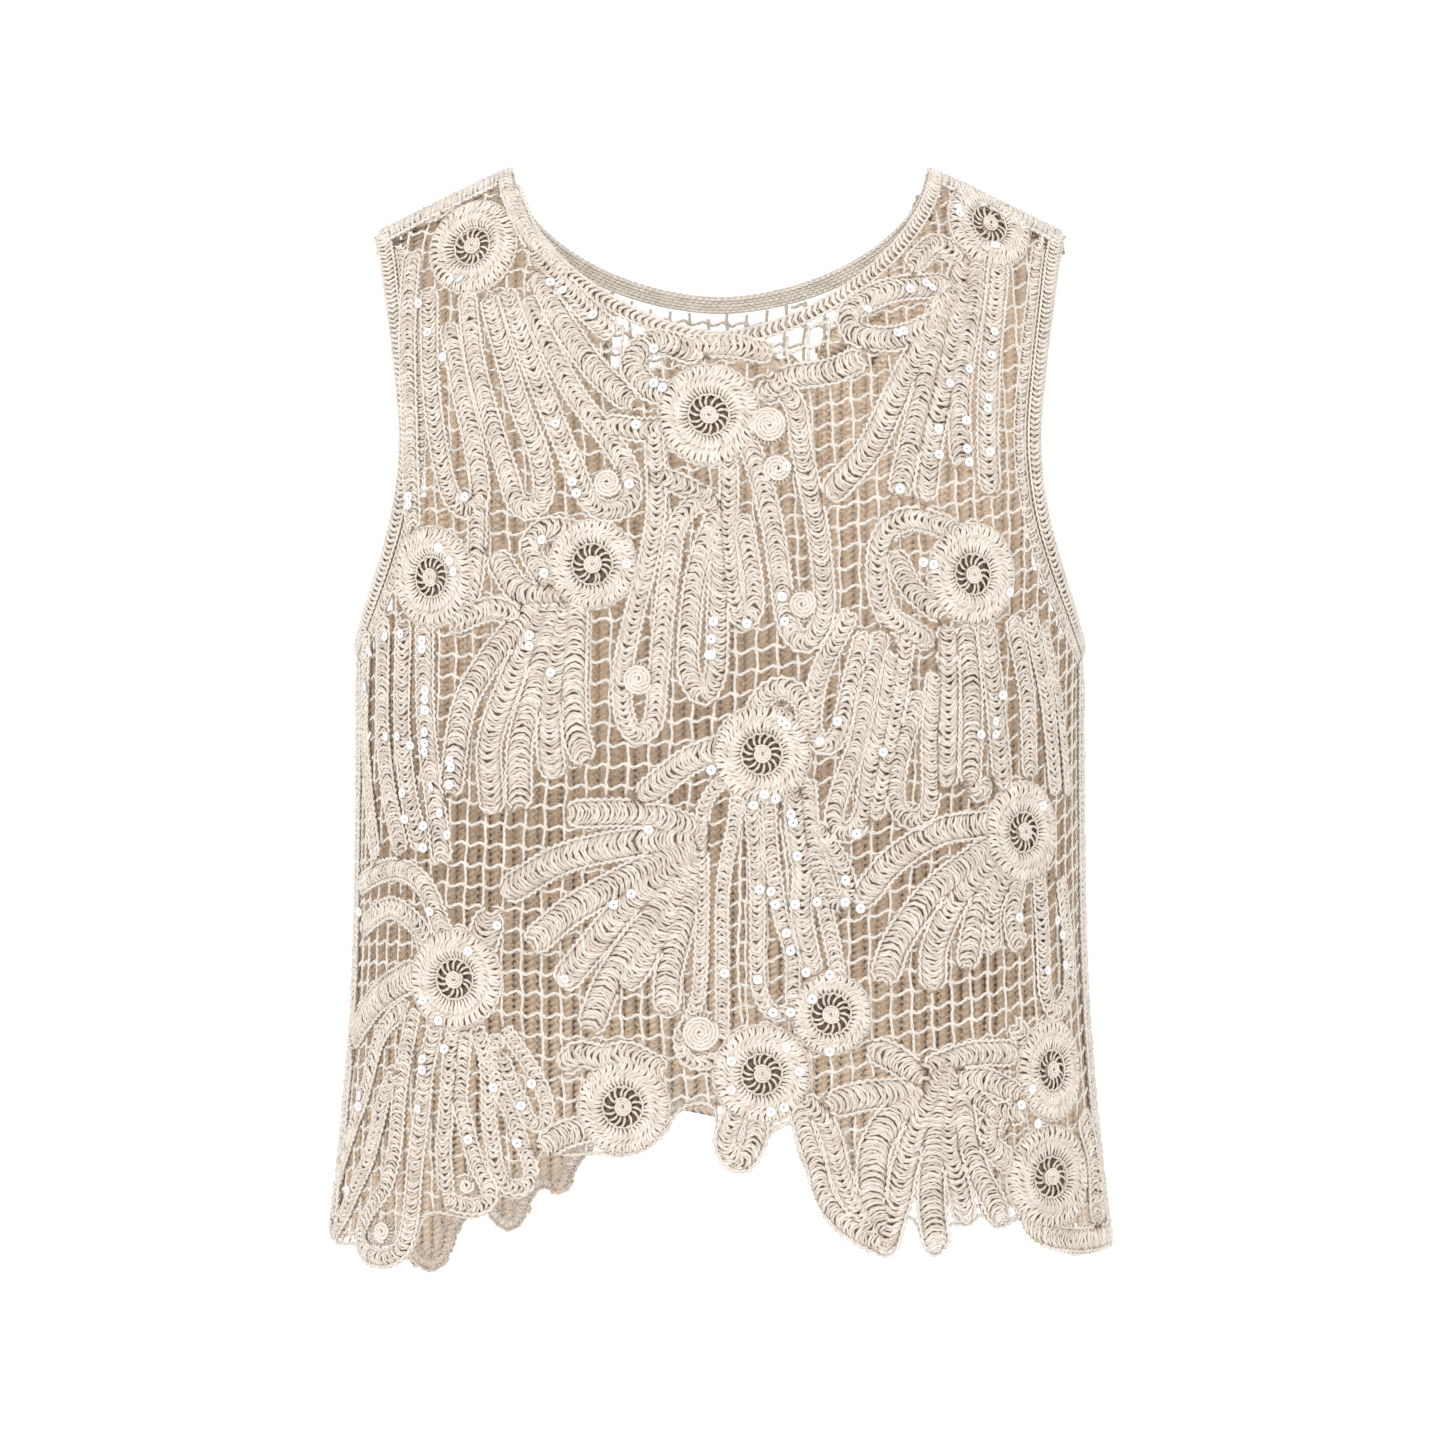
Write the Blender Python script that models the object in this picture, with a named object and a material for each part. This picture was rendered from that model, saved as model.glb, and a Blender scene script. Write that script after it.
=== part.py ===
"""Sleeveless crochet lace top, worn shape with no wearer.

Centimetres inside, metres in the meshes.  X to the viewer's right, the front faces -Y, Z up,
origin midway between the two neck points of the shoulder line.
"""
import bmesh
import bpy
import numpy as np
from mathutils import Vector
from mathutils.geometry import delaunay_2d_cdt

# worn shape: height, half width, front depth, back depth
FORM = np.array([(-55.0, 19.0, 11.1, 10.6), (-46.0, 17.9, 10.7, 9.9), (-39.0, 17.3, 10.6, 9.4),
                 (-31.0, 17.1, 11.0, 9.2), (-22.5, 17.1, 11.5, 9.7), (-15.0, 17.3, 11.2, 10.0),
                 (-8.0, 17.5, 10.8, 9.8), (2.0, 17.8, 10.3, 9.3)])
POWER, LEAN_Z, LEAN_P, LEAN_Q = 2.3, -20.0, 2.3, 0.72
NECK_X, SLOPE = 9.9, 0.5
# cloth, in centimetres measured out from the worn shape
INNER, OUTER, GAP = -0.30, -0.10, 0.03
NECK_BAND, ARM_BAND = 0.75, 0.90
# open net: most cells left open, lowest height, furthest out from the middle, shift of the lattice's waves
FRONT_NET = (160, -60.0, 30.0, 0.0)
BACK_NET = (60, -9.0, 8.5, 1.0)
COLOUR = (0.78, 0.70, 0.60, 1.0)
# soft flutes: place at the hem, drift, half width, height
FOLDS = {-1: [(-16.0, 0.10, 1.9, 0.35), (-9.0, 0.06, 2.3, -0.45), (-2.0, 0.0, 2.6, 0.40),
              (5.5, -0.05, 2.2, -0.45), (12.5, -0.08, 2.3, 0.40)],
         1: [(-14.0, 0.08, 2.3, 0.40), (-6.0, 0.04, 2.4, -0.45), (1.5, 0.0, 2.6, 0.45),
             (8.5, -0.05, 2.3, -0.40), (15.5, -0.08, 2.1, 0.35)]}
# front armhole edge: height, half width across; the back is cut 0.5 wider
ARM = [(-4.5, 16.0), (-6.5, 15.65), (-9.5, 15.2), (-13.0, 14.85), (-16.0, 15.1), (-18.5, 15.75),
       (-20.5, 16.45), (-21.8, 16.92)]
ARM_TOP, ARM_LOW, HEM_SIDE = 16.3, -22.4, -50.3

# place, radius, stretch across
WHEELS = [
    (-12.1, -4.0, 2.3, 1.0), (13.5, -2.8, 2.2, 1.0), (-0.5, -12.2, 2.3, 1.0), (-13.9, -19.5, 2.3, 1.0),
    (-5.8, -19.0, 2.0, 1.0), (11.9, -19.4, 2.3, 1.0), (1.9, -27.6, 2.2, 1.0), (14.8, -31.2, 2.3, 1.0),
    (-12.5, -37.9, 2.3, 1.0), (-4.4, -43.6, 2.1, 1.0), (1.9, -42.1, 2.2, 1.0), (5.1, -39.4, 1.8, 1.0),
    (16.5, -42.2, 2.3, 1.0), (16.2, -47.1, 2.35, 1.2),
]
EYE, HUB = 0.92, 0.47
ROSES = [
    (-5.1, -15.3, 0.71), (2.2, -12.7, 0.9), (2.6, -14.7, 0.71), (3.7, -20.8, 0.71), (-3.7, -24.2, 0.76),
    (-0.9, -40.2, 0.9), (-11.8, -47.3, 0.42), (-16.1, -49.6, 0.55),
]
# raised cords of the fans, loops and petals: width, then centre-line points
CORDS = [
    (1.02, (-15.4, -4.6), (-15.4, -8.0), (-15.2, -12.2), (-15.0, -16.9)),
    (1.02, (-14.2, -6.5), (-13.9, -10.9), (-13.3, -14.1), (-12.7, -15.8), (-11.9, -16.4),
     (-11.2, -15.8), (-11.6, -13.3), (-12.4, -10.4), (-13.0, -8.1)),
    (1.02, (-12.1, -6.7), (-11.6, -9.5), (-10.7, -12.4), (-9.8, -14.9), (-9.4, -16.1), (-8.7, -16.5),
     (-8.1, -15.8), (-8.3, -14.0), (-9.2, -11.9), (-10.0, -9.6), (-10.9, -6.9)),
    (1.02, (-10.0, -6.6), (-8.9, -9.4), (-7.7, -12.2), (-6.7, -14.5), (-6.0, -16.0), (-5.1, -16.6),
     (-4.1, -16.1), (-4.2, -14.7), (-5.2, -13.1), (-6.6, -11.3), (-7.8, -9.2), (-8.9, -7.0)),
    (1.21, (-8.5, -6.0), (-6.9, -8.5), (-5.6, -10.2), (-4.3, -11.4)),
    (1.12, (-8.6, -4.7), (-7.2, -6.2), (-5.2, -8.2)),
    (1.02, (-10.3, -1.5), (-9.1, -3.6), (-7.5, -5.4)),
    (0.93, (-3.0, -13.2), (-2.9, -15.0), (-2.9, -16.8), (-3.2, -18.6), (-3.6, -20.2), (-4.0, -21.8),
     (-4.4, -23.8), (-4.4, -25.4), (-4.1, -26.4), (-3.6, -26.7), (-3.0, -26.1), (-2.8, -24.2),
     (-2.6, -22.0), (-2.4, -20.1), (-2.2, -18.7), (-2.1, -17.8), (-1.8, -17.0), (-1.3, -16.4),
     (-0.7, -15.9)),
    (1.02, (-0.2, -16.9), (-0.6, -17.9), (-0.9, -18.8), (-1.2, -20.2), (-1.4, -22.4), (-1.4, -23.9),
     (-0.8, -24.9), (-0.2, -23.9), (-0.1, -21.1), (0.0, -19.0), (-0.1, -17.6)),
    (0.93, (0.4, -14.5), (0.4, -16.1), (0.3, -17.5), (0.4, -18.7), (0.6, -20.4), (1.0, -21.5),
     (1.5, -21.1), (1.5, -19.9), (1.3, -18.5), (1.0, -17.1)),
    (1.02, (1.4, -13.8), (1.8, -15.0), (2.1, -16.1), (2.4, -17.4), (2.7, -19.4), (3.0, -21.4),
     (3.5, -22.4), (4.1, -22.4), (4.7, -21.3), (4.6, -18.8), (4.2, -16.1), (3.7, -13.8), (3.4, -11.8),
     (2.5, -10.6)),
    (1.12, (-2.4, -12.8), (-3.6, -12.9), (-4.9, -12.7)),
    (1.21, (-1.3, -9.3), (-3.0, -8.8), (-4.0, -9.8), (-3.2, -11.0), (-1.8, -11.3)),
    (1.12, (-1.4, -9.1), (0.4, -9.0), (2.0, -9.3)),
    (1.21, (2.2, -11.2), (3.2, -10.5), (5.0, -10.2), (6.2, -9.7)),
    (1.12, (9.3, -4.9), (10.4, -4.0), (11.6, -4.6)),
    (1.21, (10.5, -6.0), (8.0, -6.3), (6.1, -7.3), (6.3, -8.4), (8.1, -8.6), (10.1, -7.9)),
    (1.30, (11.7, -5.1), (11.3, -5.9), (10.9, -6.7), (9.3, -9.1), (8.0, -11.5), (6.8, -13.8),
     (5.2, -15.6)),
    (1.21, (11.3, -6.3), (10.9, -7.0), (10.4, -7.7), (9.3, -11.5), (8.3, -15.4)),
    (1.21, (11.7, -6.3), (11.4, -7.3), (11.1, -8.1), (10.3, -11.4), (9.8, -13.3), (9.5, -15.6)),
    (1.21, (12.6, -4.7), (12.4, -5.5), (12.3, -6.2), (11.4, -10.0), (11.2, -12.3), (11.3, -14.0)),
    (1.21, (13.6, -5.1), (12.9, -9.5), (12.7, -13.2), (12.8, -15.2)),
    (1.02, (-11.3, -16.3), (-11.4, -18.8), (-11.8, -21.0)),
    (1.12, (-12.5, -21.6), (-10.7, -21.0), (-9.7, -21.2)),
    (1.12, (-14.3, -21.8), (-14.2, -26.1), (-13.6, -29.7), (-13.2, -32.2)),
    (1.12, (-15.7, -21.8), (-15.8, -26.1), (-15.3, -29.3), (-14.5, -31.6)),
    (1.12, (-17.3, -21.7), (-17.4, -26.1), (-16.8, -29.3), (-15.8, -31.8)),
    (1.02, (-19.2, -22.3), (-19.6, -26.1), (-18.9, -29.3), (-18.0, -32.1)),
    (1.12, (-6.7, -17.5), (-8.0, -17.4), (-8.7, -18.3), (-8.0, -19.6)),
    (1.30, (-7.7, -20.5), (-9.2, -20.2), (-10.2, -18.9)),
    (1.30, (-8.7, -21.2), (-10.7, -23.3), (-12.1, -25.6), (-12.7, -29.0)),
    (1.30, (-8.2, -21.2), (-9.6, -24.2), (-10.7, -27.0), (-10.6, -29.8)),
    (1.30, (-7.7, -21.3), (-8.5, -24.7), (-9.2, -27.0), (-9.3, -29.6)),
    (1.30, (-7.2, -21.2), (-7.7, -24.7), (-7.8, -27.0), (-7.7, -28.2)),
    (1.30, (-6.6, -21.0), (-6.7, -24.7), (-6.6, -26.5), (-6.3, -27.5)),
    (1.12, (10.6, -17.3), (8.7, -16.9), (7.5, -17.7), (7.2, -19.5), (7.7, -21.3), (9.4, -22.4)),
    (1.12, (8.1, -18.8), (8.8, -20.1), (10.1, -21.1)),
    (0.93, (5.8, -21.4), (4.6, -23.8), (4.2, -25.6), (4.3, -26.8), (4.9, -27.2), (5.5, -26.4),
     (5.9, -24.7), (6.5, -22.4)),
    (0.93, (7.3, -22.4), (6.7, -24.7), (6.3, -27.0), (5.5, -29.2), (5.2, -30.6), (5.7, -31.2),
     (6.5, -30.4), (6.9, -27.9), (7.5, -25.6), (7.9, -23.3)),
    (0.93, (8.5, -22.4), (8.2, -24.7), (7.8, -27.0), (7.1, -30.2)),
    (0.93, (9.1, -25.1), (8.2, -27.9), (8.1, -29.9), (9.0, -30.6), (9.7, -29.7), (9.7, -27.0),
     (9.9, -24.2)),
    (1.21, (10.6, -22.1), (10.6, -25.1), (10.5, -28.6)),
    (1.21, (11.5, -22.2), (11.8, -25.1), (11.7, -28.6)),
    (1.12, (12.6, -22.0), (13.1, -25.1), (13.5, -28.8)),
    (1.02, (14.2, -21.7), (15.0, -24.7), (15.2, -28.3)),
    (1.02, (15.3, -21.5), (16.5, -25.1), (17.1, -29.1)),
    (1.02, (1.7, -25.4), (2.2, -24.8), (2.9, -24.6), (3.5, -24.9), (3.9, -25.5), (3.9, -26.4)),
    (1.30, (0.2, -27.3), (-1.4, -27.9), (-3.2, -29.3)),
    (1.30, (-1.1, -31.0), (-3.6, -30.3), (-6.5, -30.3)),
    (1.40, (-1.4, -31.4), (-4.5, -31.7), (-7.3, -32.4), (-9.6, -33.7)),
    (1.40, (-1.4, -31.8), (-4.3, -33.3), (-6.8, -34.7), (-8.4, -36.0)),
    (1.40, (-1.4, -32.2), (-3.9, -34.2), (-5.7, -36.2), (-7.0, -37.7)),
    (1.40, (-1.4, -32.5), (-3.2, -35.1), (-5.0, -37.8), (-5.8, -39.7)),
    (1.30, (-1.3, -32.7), (-2.4, -35.1), (-3.5, -36.9), (-4.1, -37.7)),
    (1.30, (-1.1, -32.8), (-1.7, -35.1), (-2.3, -37.4), (-2.4, -38.8)),
    (0.65, (0.3, -28.6), (-0.1, -29.0), (-0.6, -29.7), (-0.8, -30.8), (-0.8, -34.2), (-0.9, -37.8),
     (-1.1, -39.0), (-1.5, -39.8), (-1.8, -40.5), (-1.5, -41.4), (-0.8, -41.6), (-0.2, -41.4)),
    (0.65, (0.8, -29.4), (0.6, -31.0), (0.3, -32.4), (0.1, -34.2), (0.1, -37.0), (0.1, -40.3)),
    (0.70, (1.4, -29.9), (1.6, -31.9), (1.7, -34.0), (1.7, -37.4), (1.8, -38.3), (2.1, -39.0),
     (2.6, -39.4), (3.1, -39.2)),
    (0.70, (2.2, -29.9), (2.3, -31.8), (2.5, -33.3), (2.7, -34.7), (3.0, -35.8), (3.3, -36.9),
     (3.3, -39.1)),
    (1.02, (3.4, -29.7), (3.5, -31.3), (3.8, -32.9), (3.7, -34.7), (3.9, -36.0), (4.2, -37.2)),
    (0.84, (4.0, -29.0), (4.1, -30.6), (4.3, -31.8), (4.7, -33.0), (5.1, -34.1), (5.5, -34.5),
     (5.9, -33.9), (5.6, -32.7), (5.0, -31.7), (4.5, -31.0)),
    (1.30, (12.8, -30.8), (10.2, -31.1), (8.0, -32.4), (6.6, -34.0)),
    (1.40, (12.5, -32.0), (9.9, -33.8), (8.2, -36.0), (7.6, -37.5)),
    (1.30, (12.8, -32.5), (10.9, -34.3), (9.9, -36.3), (9.8, -37.8)),
    (1.21, (13.2, -32.9), (12.0, -34.7), (11.5, -36.9)),
    (1.12, (13.6, -33.3), (12.8, -34.7), (12.8, -36.2)),
    (1.12, (14.3, -33.5), (14.0, -35.2), (14.3, -36.2)),
    (0.93, (15.8, -33.6), (16.0, -36.2), (16.1, -38.5), (16.8, -39.5), (18.0, -38.6), (18.1, -36.3),
     (17.6, -33.7)),
    (1.02, (-19.6, -33.7), (-16.2, -32.9), (-14.2, -33.6), (-13.1, -35.7)),
    (1.02, (-19.0, -35.6), (-16.4, -34.7), (-14.5, -35.5), (-13.9, -36.6)),
    (1.58, (-11.1, -36.2), (-10.8, -35.3)),
    (1.55, (-14.8, -37.8), (-16.0, -38.3), (-17.3, -38.9), (-18.5, -39.7), (-19.8, -40.6)),
    (0.95, (-15.2, -39.3), (-16.3, -40.0), (-17.1, -40.8), (-17.7, -42.0), (-18.3, -43.4),
     (-19.3, -44.8), (-20.4, -46.3), (-21.3, -47.7), (-21.7, -49.0)),
    (1.00, (-15.9, -42.7), (-16.5, -43.6), (-16.9, -44.8), (-17.6, -46.4), (-18.6, -47.6),
     (-19.6, -48.8), (-20.6, -49.6)),
    (0.84, (-14.7, -39.6), (-14.9, -40.6), (-15.2, -42.1), (-15.4, -43.6), (-15.5, -45.3),
     (-15.7, -46.5), (-16.1, -47.6), (-17.1, -48.6), (-17.8, -49.5), (-17.8, -50.2), (-17.1, -50.7),
     (-16.0, -50.8), (-15.2, -50.4), (-14.8, -49.7), (-14.6, -48.6), (-14.4, -46.2), (-14.1, -44.0),
     (-13.9, -42.0), (-13.5, -40.3)),
    (0.80, (-12.5, -40.3), (-12.7, -41.6), (-12.8, -43.0), (-12.9, -44.4), (-13.0, -45.7),
     (-12.9, -46.9), (-12.8, -47.9)),
    (0.80, (-12.0, -40.6), (-12.1, -42.0), (-12.2, -43.4), (-11.9, -44.5), (-11.6, -45.6),
     (-11.2, -46.6), (-10.8, -47.3), (-10.8, -47.9), (-11.3, -48.2), (-12.0, -48.2), (-12.7, -48.0)),
    (0.75, (-11.3, -40.3), (-10.9, -41.5), (-10.8, -42.9), (-10.8, -44.1), (-10.6, -45.4),
     (-10.4, -46.5), (-10.0, -47.2), (-9.3, -47.3), (-8.8, -46.9), (-8.9, -46.0), (-9.3, -45.1),
     (-9.7, -44.0), (-10.2, -43.0), (-10.5, -41.8), (-10.4, -40.6)),
    (0.72, (-9.9, -40.3), (-9.1, -41.4), (-8.4, -42.5), (-8.0, -43.6), (-8.1, -44.3), (-8.4, -44.5),
     (-8.9, -44.2), (-9.2, -43.5), (-9.7, -42.6), (-10.1, -41.6)),
    (1.21, (-2.9, -41.8), (-4.2, -41.2), (-5.2, -41.4), (-6.4, -41.2), (-7.0, -41.6)),
    (1.30, (-5.9, -44.5), (-7.2, -44.9), (-7.9, -45.3)),
    (1.12, (0.7, -43.8), (0.3, -45.2), (0.9, -46.0), (1.5, -45.3), (1.7, -44.1)),
    (1.00, (3.6, -43.7), (4.0, -45.1), (4.4, -46.2), (4.7, -47.4), (5.2, -48.3), (5.9, -49.0),
     (6.7, -49.5), (7.3, -49.8)),
    (1.05, (4.1, -43.5), (4.8, -44.3), (5.2, -45.3), (5.5, -46.5), (5.9, -47.5), (6.4, -48.4),
     (6.9, -49.1)),
    (1.50, (8.6, -43.5), (7.7, -44.4), (7.1, -45.6), (7.0, -47.0), (7.0, -48.0), (7.3, -48.7)),
    (1.30, (9.0, -42.2), (8.1, -41.5), (7.3, -41.1)),
    (1.40, (8.7, -43.0), (6.8, -43.1), (5.5, -43.4)),
    (1.21, (9.9, -41.8), (11.7, -41.3), (13.7, -41.3)),
    (1.21, (10.6, -42.5), (12.2, -42.5), (13.8, -43.1)),
    (1.30, (10.2, -42.1), (9.6, -43.5), (9.0, -44.6), (8.7, -45.7), (8.4, -46.6), (8.2, -47.7),
     (7.9, -48.6), (7.6, -49.7)),
    (1.30, (10.4, -42.2), (10.0, -44.4), (9.8, -45.9), (9.7, -47.0), (9.7, -48.0), (9.8, -49.0),
     (9.9, -49.7)),
    (1.12, (10.8, -42.5), (10.5, -44.0), (10.5, -45.5), (10.8, -46.7), (11.0, -47.6), (11.2, -48.5)),
    (1.20, (11.1, -43.4), (11.3, -44.8), (11.6, -46.0), (12.0, -47.0), (12.5, -47.8), (12.9, -48.6)),
    (1.21, (14.2, -44.0), (12.8, -44.2), (12.4, -45.3), (13.5, -46.3)),
    (1.12, (14.6, -49.0), (15.3, -49.5), (16.1, -49.8), (17.2, -50.0), (18.5, -50.1), (20.6, -50.1),
     (22.6, -50.1)),
    (1.02, (-2.6, -15.1), (-1.8, -15.4), (-0.9, -15.9), (-0.4, -16.3)),
    (0.75, (4.2, -32.1), (4.6, -33.8), (4.9, -35.1), (5.2, -36.5), (5.4, -37.6)),
    (1.10, (14.2, -40.2), (14.9, -41.1)),
    (1.50, (19.2, -44.8), (19.9, -46.2), (20.0, -47.6), (19.9, -48.9)),
    (0.90, (11.8, -29.0), (12.1, -29.4), (12.5, -29.1)),
    (0.90, (11.4, -42.9), (12.3, -43.7), (13.2, -44.5)),
    (0.60, (16.3, -21.9), (17.3, -24.5), (18.0, -27.2), (18.3, -29.3)),
]
# plain upright strips by the side seams, both panels, both sides where marked
STRIPS = [
    (0.90, (21.9, -24.5), (21.9, -34.0), (21.8, -43.0), (22.3, -49.6)),
    (0.90, (20.9, -23.6), (20.6, -33.0), (20.7, -42.0), (20.9, -48.9)),
    (0.80, (-22.0, -24.5), (-22.0, -34.0), (-21.9, -43.0), (-22.4, -49.6)),
    (0.90, (-20.9, -23.6), (-21.0, -33.0), (-20.9, -42.0), (-21.4, -48.9)),
]
# long gaps between cords, wider than 4 mm
SLITS = [
    ((-12.82, -9.01), (-12.34, -9.03), (-12.90, -6.61), (-13.45, -6.50)),
    ((-3.72, -13.23), (-3.58, -14.28), (-4.17, -14.23), (-4.91, -13.68)),
    ((-7.68, -16.44), (-7.21, -15.40), (-7.65, -13.79), (-8.03, -13.60)),
    ((-5.91, -14.91), (-5.41, -14.59), (-5.92, -14.17), (-6.57, -13.89)),
    ((-6.40, -11.96), (-5.93, -12.48), (-5.61, -12.11), (-6.55, -11.40)),
    ((-10.68, -20.46), (-9.68, -20.70), (-10.18, -19.78), (-10.83, -19.41)),
    ((8.47, -21.43), (9.59, -21.79), (8.09, -20.62), (7.57, -19.94)),
    ((8.38, -24.60), (8.72, -24.69), (9.29, -23.19), (8.62, -23.10)),
    ((4.30, -28.67), (4.90, -29.22), (5.17, -27.86), (4.16, -27.72)),
    ((-1.18, -29.94), (-0.90, -29.94), (-0.81, -28.76), (-1.36, -28.85)),
    ((-1.67, -32.38), (-1.27, -32.38), (-1.27, -31.25), (-1.67, -31.25)),
    ((-1.67, -33.88), (-1.27, -33.88), (-1.27, -32.70), (-1.67, -32.70)),
    ((-1.67, -35.55), (-1.27, -35.55), (-1.27, -34.19), (-1.67, -34.19)),
    ((-1.68, -37.01), (-1.27, -37.00), (-1.27, -35.87), (-1.67, -35.87)),
    ((-0.59, -32.74), (-0.18, -32.74), (-0.18, -31.57), (-0.59, -31.57)),
    ((-0.59, -34.19), (-0.18, -34.19), (-0.18, -33.06), (-0.59, -33.06)),
    ((-0.59, -35.55), (-0.18, -35.55), (-0.18, -34.51), (-0.59, -34.51)),
    ((-0.59, -37.14), (-0.18, -37.14), (-0.18, -35.87), (-0.59, -35.87)),
    ((11.65, -43.66), (12.01, -43.53), (12.22, -42.85), (11.55, -42.88)),
    ((8.04, -45.84), (8.42, -46.12), (9.23, -43.96), (8.81, -43.77)),
    ((-11.66, -41.56), (-11.26, -41.55), (-11.31, -40.74), (-11.72, -40.75)),
    ((-11.61, -42.38), (-11.20, -42.37), (-11.20, -41.83), (-11.66, -41.84)),
    ((-11.55, -43.34), (-11.14, -43.33), (-11.15, -42.64), (-11.60, -42.66)),
    ((-15.33, -42.83), (-14.83, -42.81), (-14.34, -40.82), (-14.88, -40.75)),
    ((-15.44, -45.12), (-14.89, -45.10), (-14.82, -43.40), (-15.31, -43.42)),
    ((-13.93, -44.28), (-13.37, -44.26), (-13.34, -43.07), (-13.89, -43.00)),
    ((-14.07, -45.79), (-13.41, -45.76), (-13.36, -44.81), (-14.03, -44.74)),
    ((-14.09, -47.39), (-13.38, -47.35), (-13.29, -46.31), (-14.06, -46.34)),
    ((-14.35, -48.53), (-13.58, -48.50), (-13.32, -47.81), (-14.25, -47.85)),
    ((-17.73, -47.31), (-16.75, -47.25), (-16.66, -46.33), (-17.55, -46.47)),
    ((-12.55, -45.96), (-11.88, -46.03), (-11.99, -45.30), (-12.56, -45.32)),
    ((-12.54, -46.96), (-11.97, -46.94), (-11.83, -46.34), (-12.55, -46.32)),
    ((13.13, -23.22), (13.83, -22.94), (13.53, -22.12), (12.90, -22.49)),
    ((14.01, -24.68), (14.50, -24.68), (14.19, -23.08), (13.77, -23.31)),
    ((4.62, -25.51), (4.98, -25.51), (5.12, -24.33), (4.71, -24.33)),
    ((5.72, -30.03), (6.23, -30.13), (6.23, -29.22), (5.68, -29.44)),
    ((1.26, -17.47), (1.90, -17.70), (1.67, -16.47), (0.99, -16.34)),
    ((1.76, -19.73), (2.26, -19.64), (2.08, -18.15), (1.44, -18.15)),
    ((2.03, -21.45), (2.44, -21.45), (2.35, -20.09), (1.94, -20.09)),
    ((3.03, -17.24), (3.53, -17.24), (3.48, -16.33), (2.94, -16.33)),
    ((3.21, -18.83), (3.89, -18.73), (3.66, -17.78), (3.12, -17.92)),
    ((3.25, -20.09), (3.93, -20.09), (3.89, -19.10), (3.21, -19.19)),
    ((-3.80, -18.37), (-3.53, -18.01), (-3.89, -17.10), (-4.44, -17.46)),
    ((-2.26, -17.02), (-1.81, -17.02), (-1.72, -16.25), (-2.17, -16.24)),
    ((-1.35, -17.92), (-0.99, -18.06), (-0.41, -16.65), (-0.90, -16.88)),
]
HEM = [
    (-21.2, -50.5), (-19.9, -50.5), (-18.6, -50.4), (-18.1, -50.8), (-17.3, -51.2), (-16.1, -51.3),
    (-15.2, -51.0), (-14.5, -50.3), (-14.1, -49.2), (-13.7, -48.7), (-12.9, -48.7), (-12.2, -48.8),
    (-11.4, -48.8), (-10.7, -48.4), (-10.3, -47.8), (-9.6, -47.9), (-8.8, -47.5), (-8.2, -45.7),
    (-7.2, -45.9), (-5.5, -45.8), (-4.5, -45.9), (-3.4, -45.5), (-2.5, -44.9), (-1.8, -43.8),
    (-0.9, -43.5), (-0.3, -43.8), (-0.2, -45.5), (0.2, -46.3), (1.0, -46.6), (1.7, -46.1), (2.2, -45.1),
    (2.8, -44.5), (3.5, -44.6), (3.5, -45.6), (4.0, -46.7), (4.5, -47.8), (5.0, -48.7), (5.7, -49.5),
    (6.4, -49.9), (7.0, -50.2), (7.6, -50.5), (8.1, -50.2), (8.3, -49.4), (8.7, -48.7), (9.0, -49.1),
    (9.3, -49.9), (9.8, -50.5), (10.3, -50.2), (10.5, -49.4), (10.8, -49.0), (11.2, -49.2),
    (11.7, -49.0), (12.1, -48.7), (12.5, -49.1), (13.1, -49.3), (13.7, -49.1), (14.2, -49.0),
    (14.8, -49.6), (15.7, -50.2), (16.9, -50.6), (18.2, -50.8), (20.4, -50.8),
]
HEM_BACK = [
    (-19.8, -50.9), (-17.8, -51.4), (-16.2, -51.4), (-15.5, -52.3), (-14.5, -52.9), (-13.6, -52.5),
    (-13.2, -51.3), (-12.0, -49.8), (-11.3, -50.5), (-10.6, -51.0), (-9.8, -50.6), (-9.3, -49.4),
    (-8.8, -48.9), (-8.1, -49.1), (-7.5, -48.8), (-6.9, -47.6), (-5.3, -46.0), (-3.7, -45.8),
    (-2.6, -45.5), (-1.6, -45.1), (-0.7, -45.0), (0.5, -45.0), (2.1, -45.1), (3.4, -45.4), (4.7, -46.6),
    (5.9, -48.3),
    (6.8, -49.5), (7.5, -50.1), (8.3, -49.7), (9.0, -48.9), (10.1, -49.6), (11.0, -50.0), (11.7, -49.3),
    (12.5, -48.9), (14.0, -49.6), (15.2, -49.5), (16.3, -49.8), (18.6, -50.7),
]


def smooth(xs, ys, x):
    """Cubic through a table with central slopes."""
    m = np.gradient(ys, xs)
    x = np.asarray(x, float)
    i = np.clip(np.searchsorted(xs, x) - 1, 0, len(xs) - 2)
    h = xs[i + 1] - xs[i]
    t = (x - xs[i]) / h
    return ((2 * t**3 - 3 * t**2 + 1) * ys[i] + (t**3 - 2 * t**2 + t) * h * m[i]
            + (3 * t**2 - 2 * t**3) * ys[i + 1] + (t**3 - t**2) * h * m[i + 1])


def ridge(x):
    """Height of the shoulder line, 0 at the neck points, falling one in two."""
    return SLOPE * (NECK_X - np.sqrt(x * x + 9.0)) + 0.22


def depth(x, z, side):
    """Superellipse section, closed towards the shoulder line."""
    a = smooth(FORM[:, 0], FORM[:, 1], z)
    b = smooth(FORM[:, 0], FORM[:, 2 if side < 0 else 3], z)
    r = np.clip(1 - np.abs(x / a)**POWER, 0, 1)**(1 / POWER)
    t = np.clip((z - LEAN_Z) / (ridge(x) - LEAN_Z), 0, 1)
    return side * b * r * (1 - t**LEAN_P)**LEAN_Q


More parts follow.
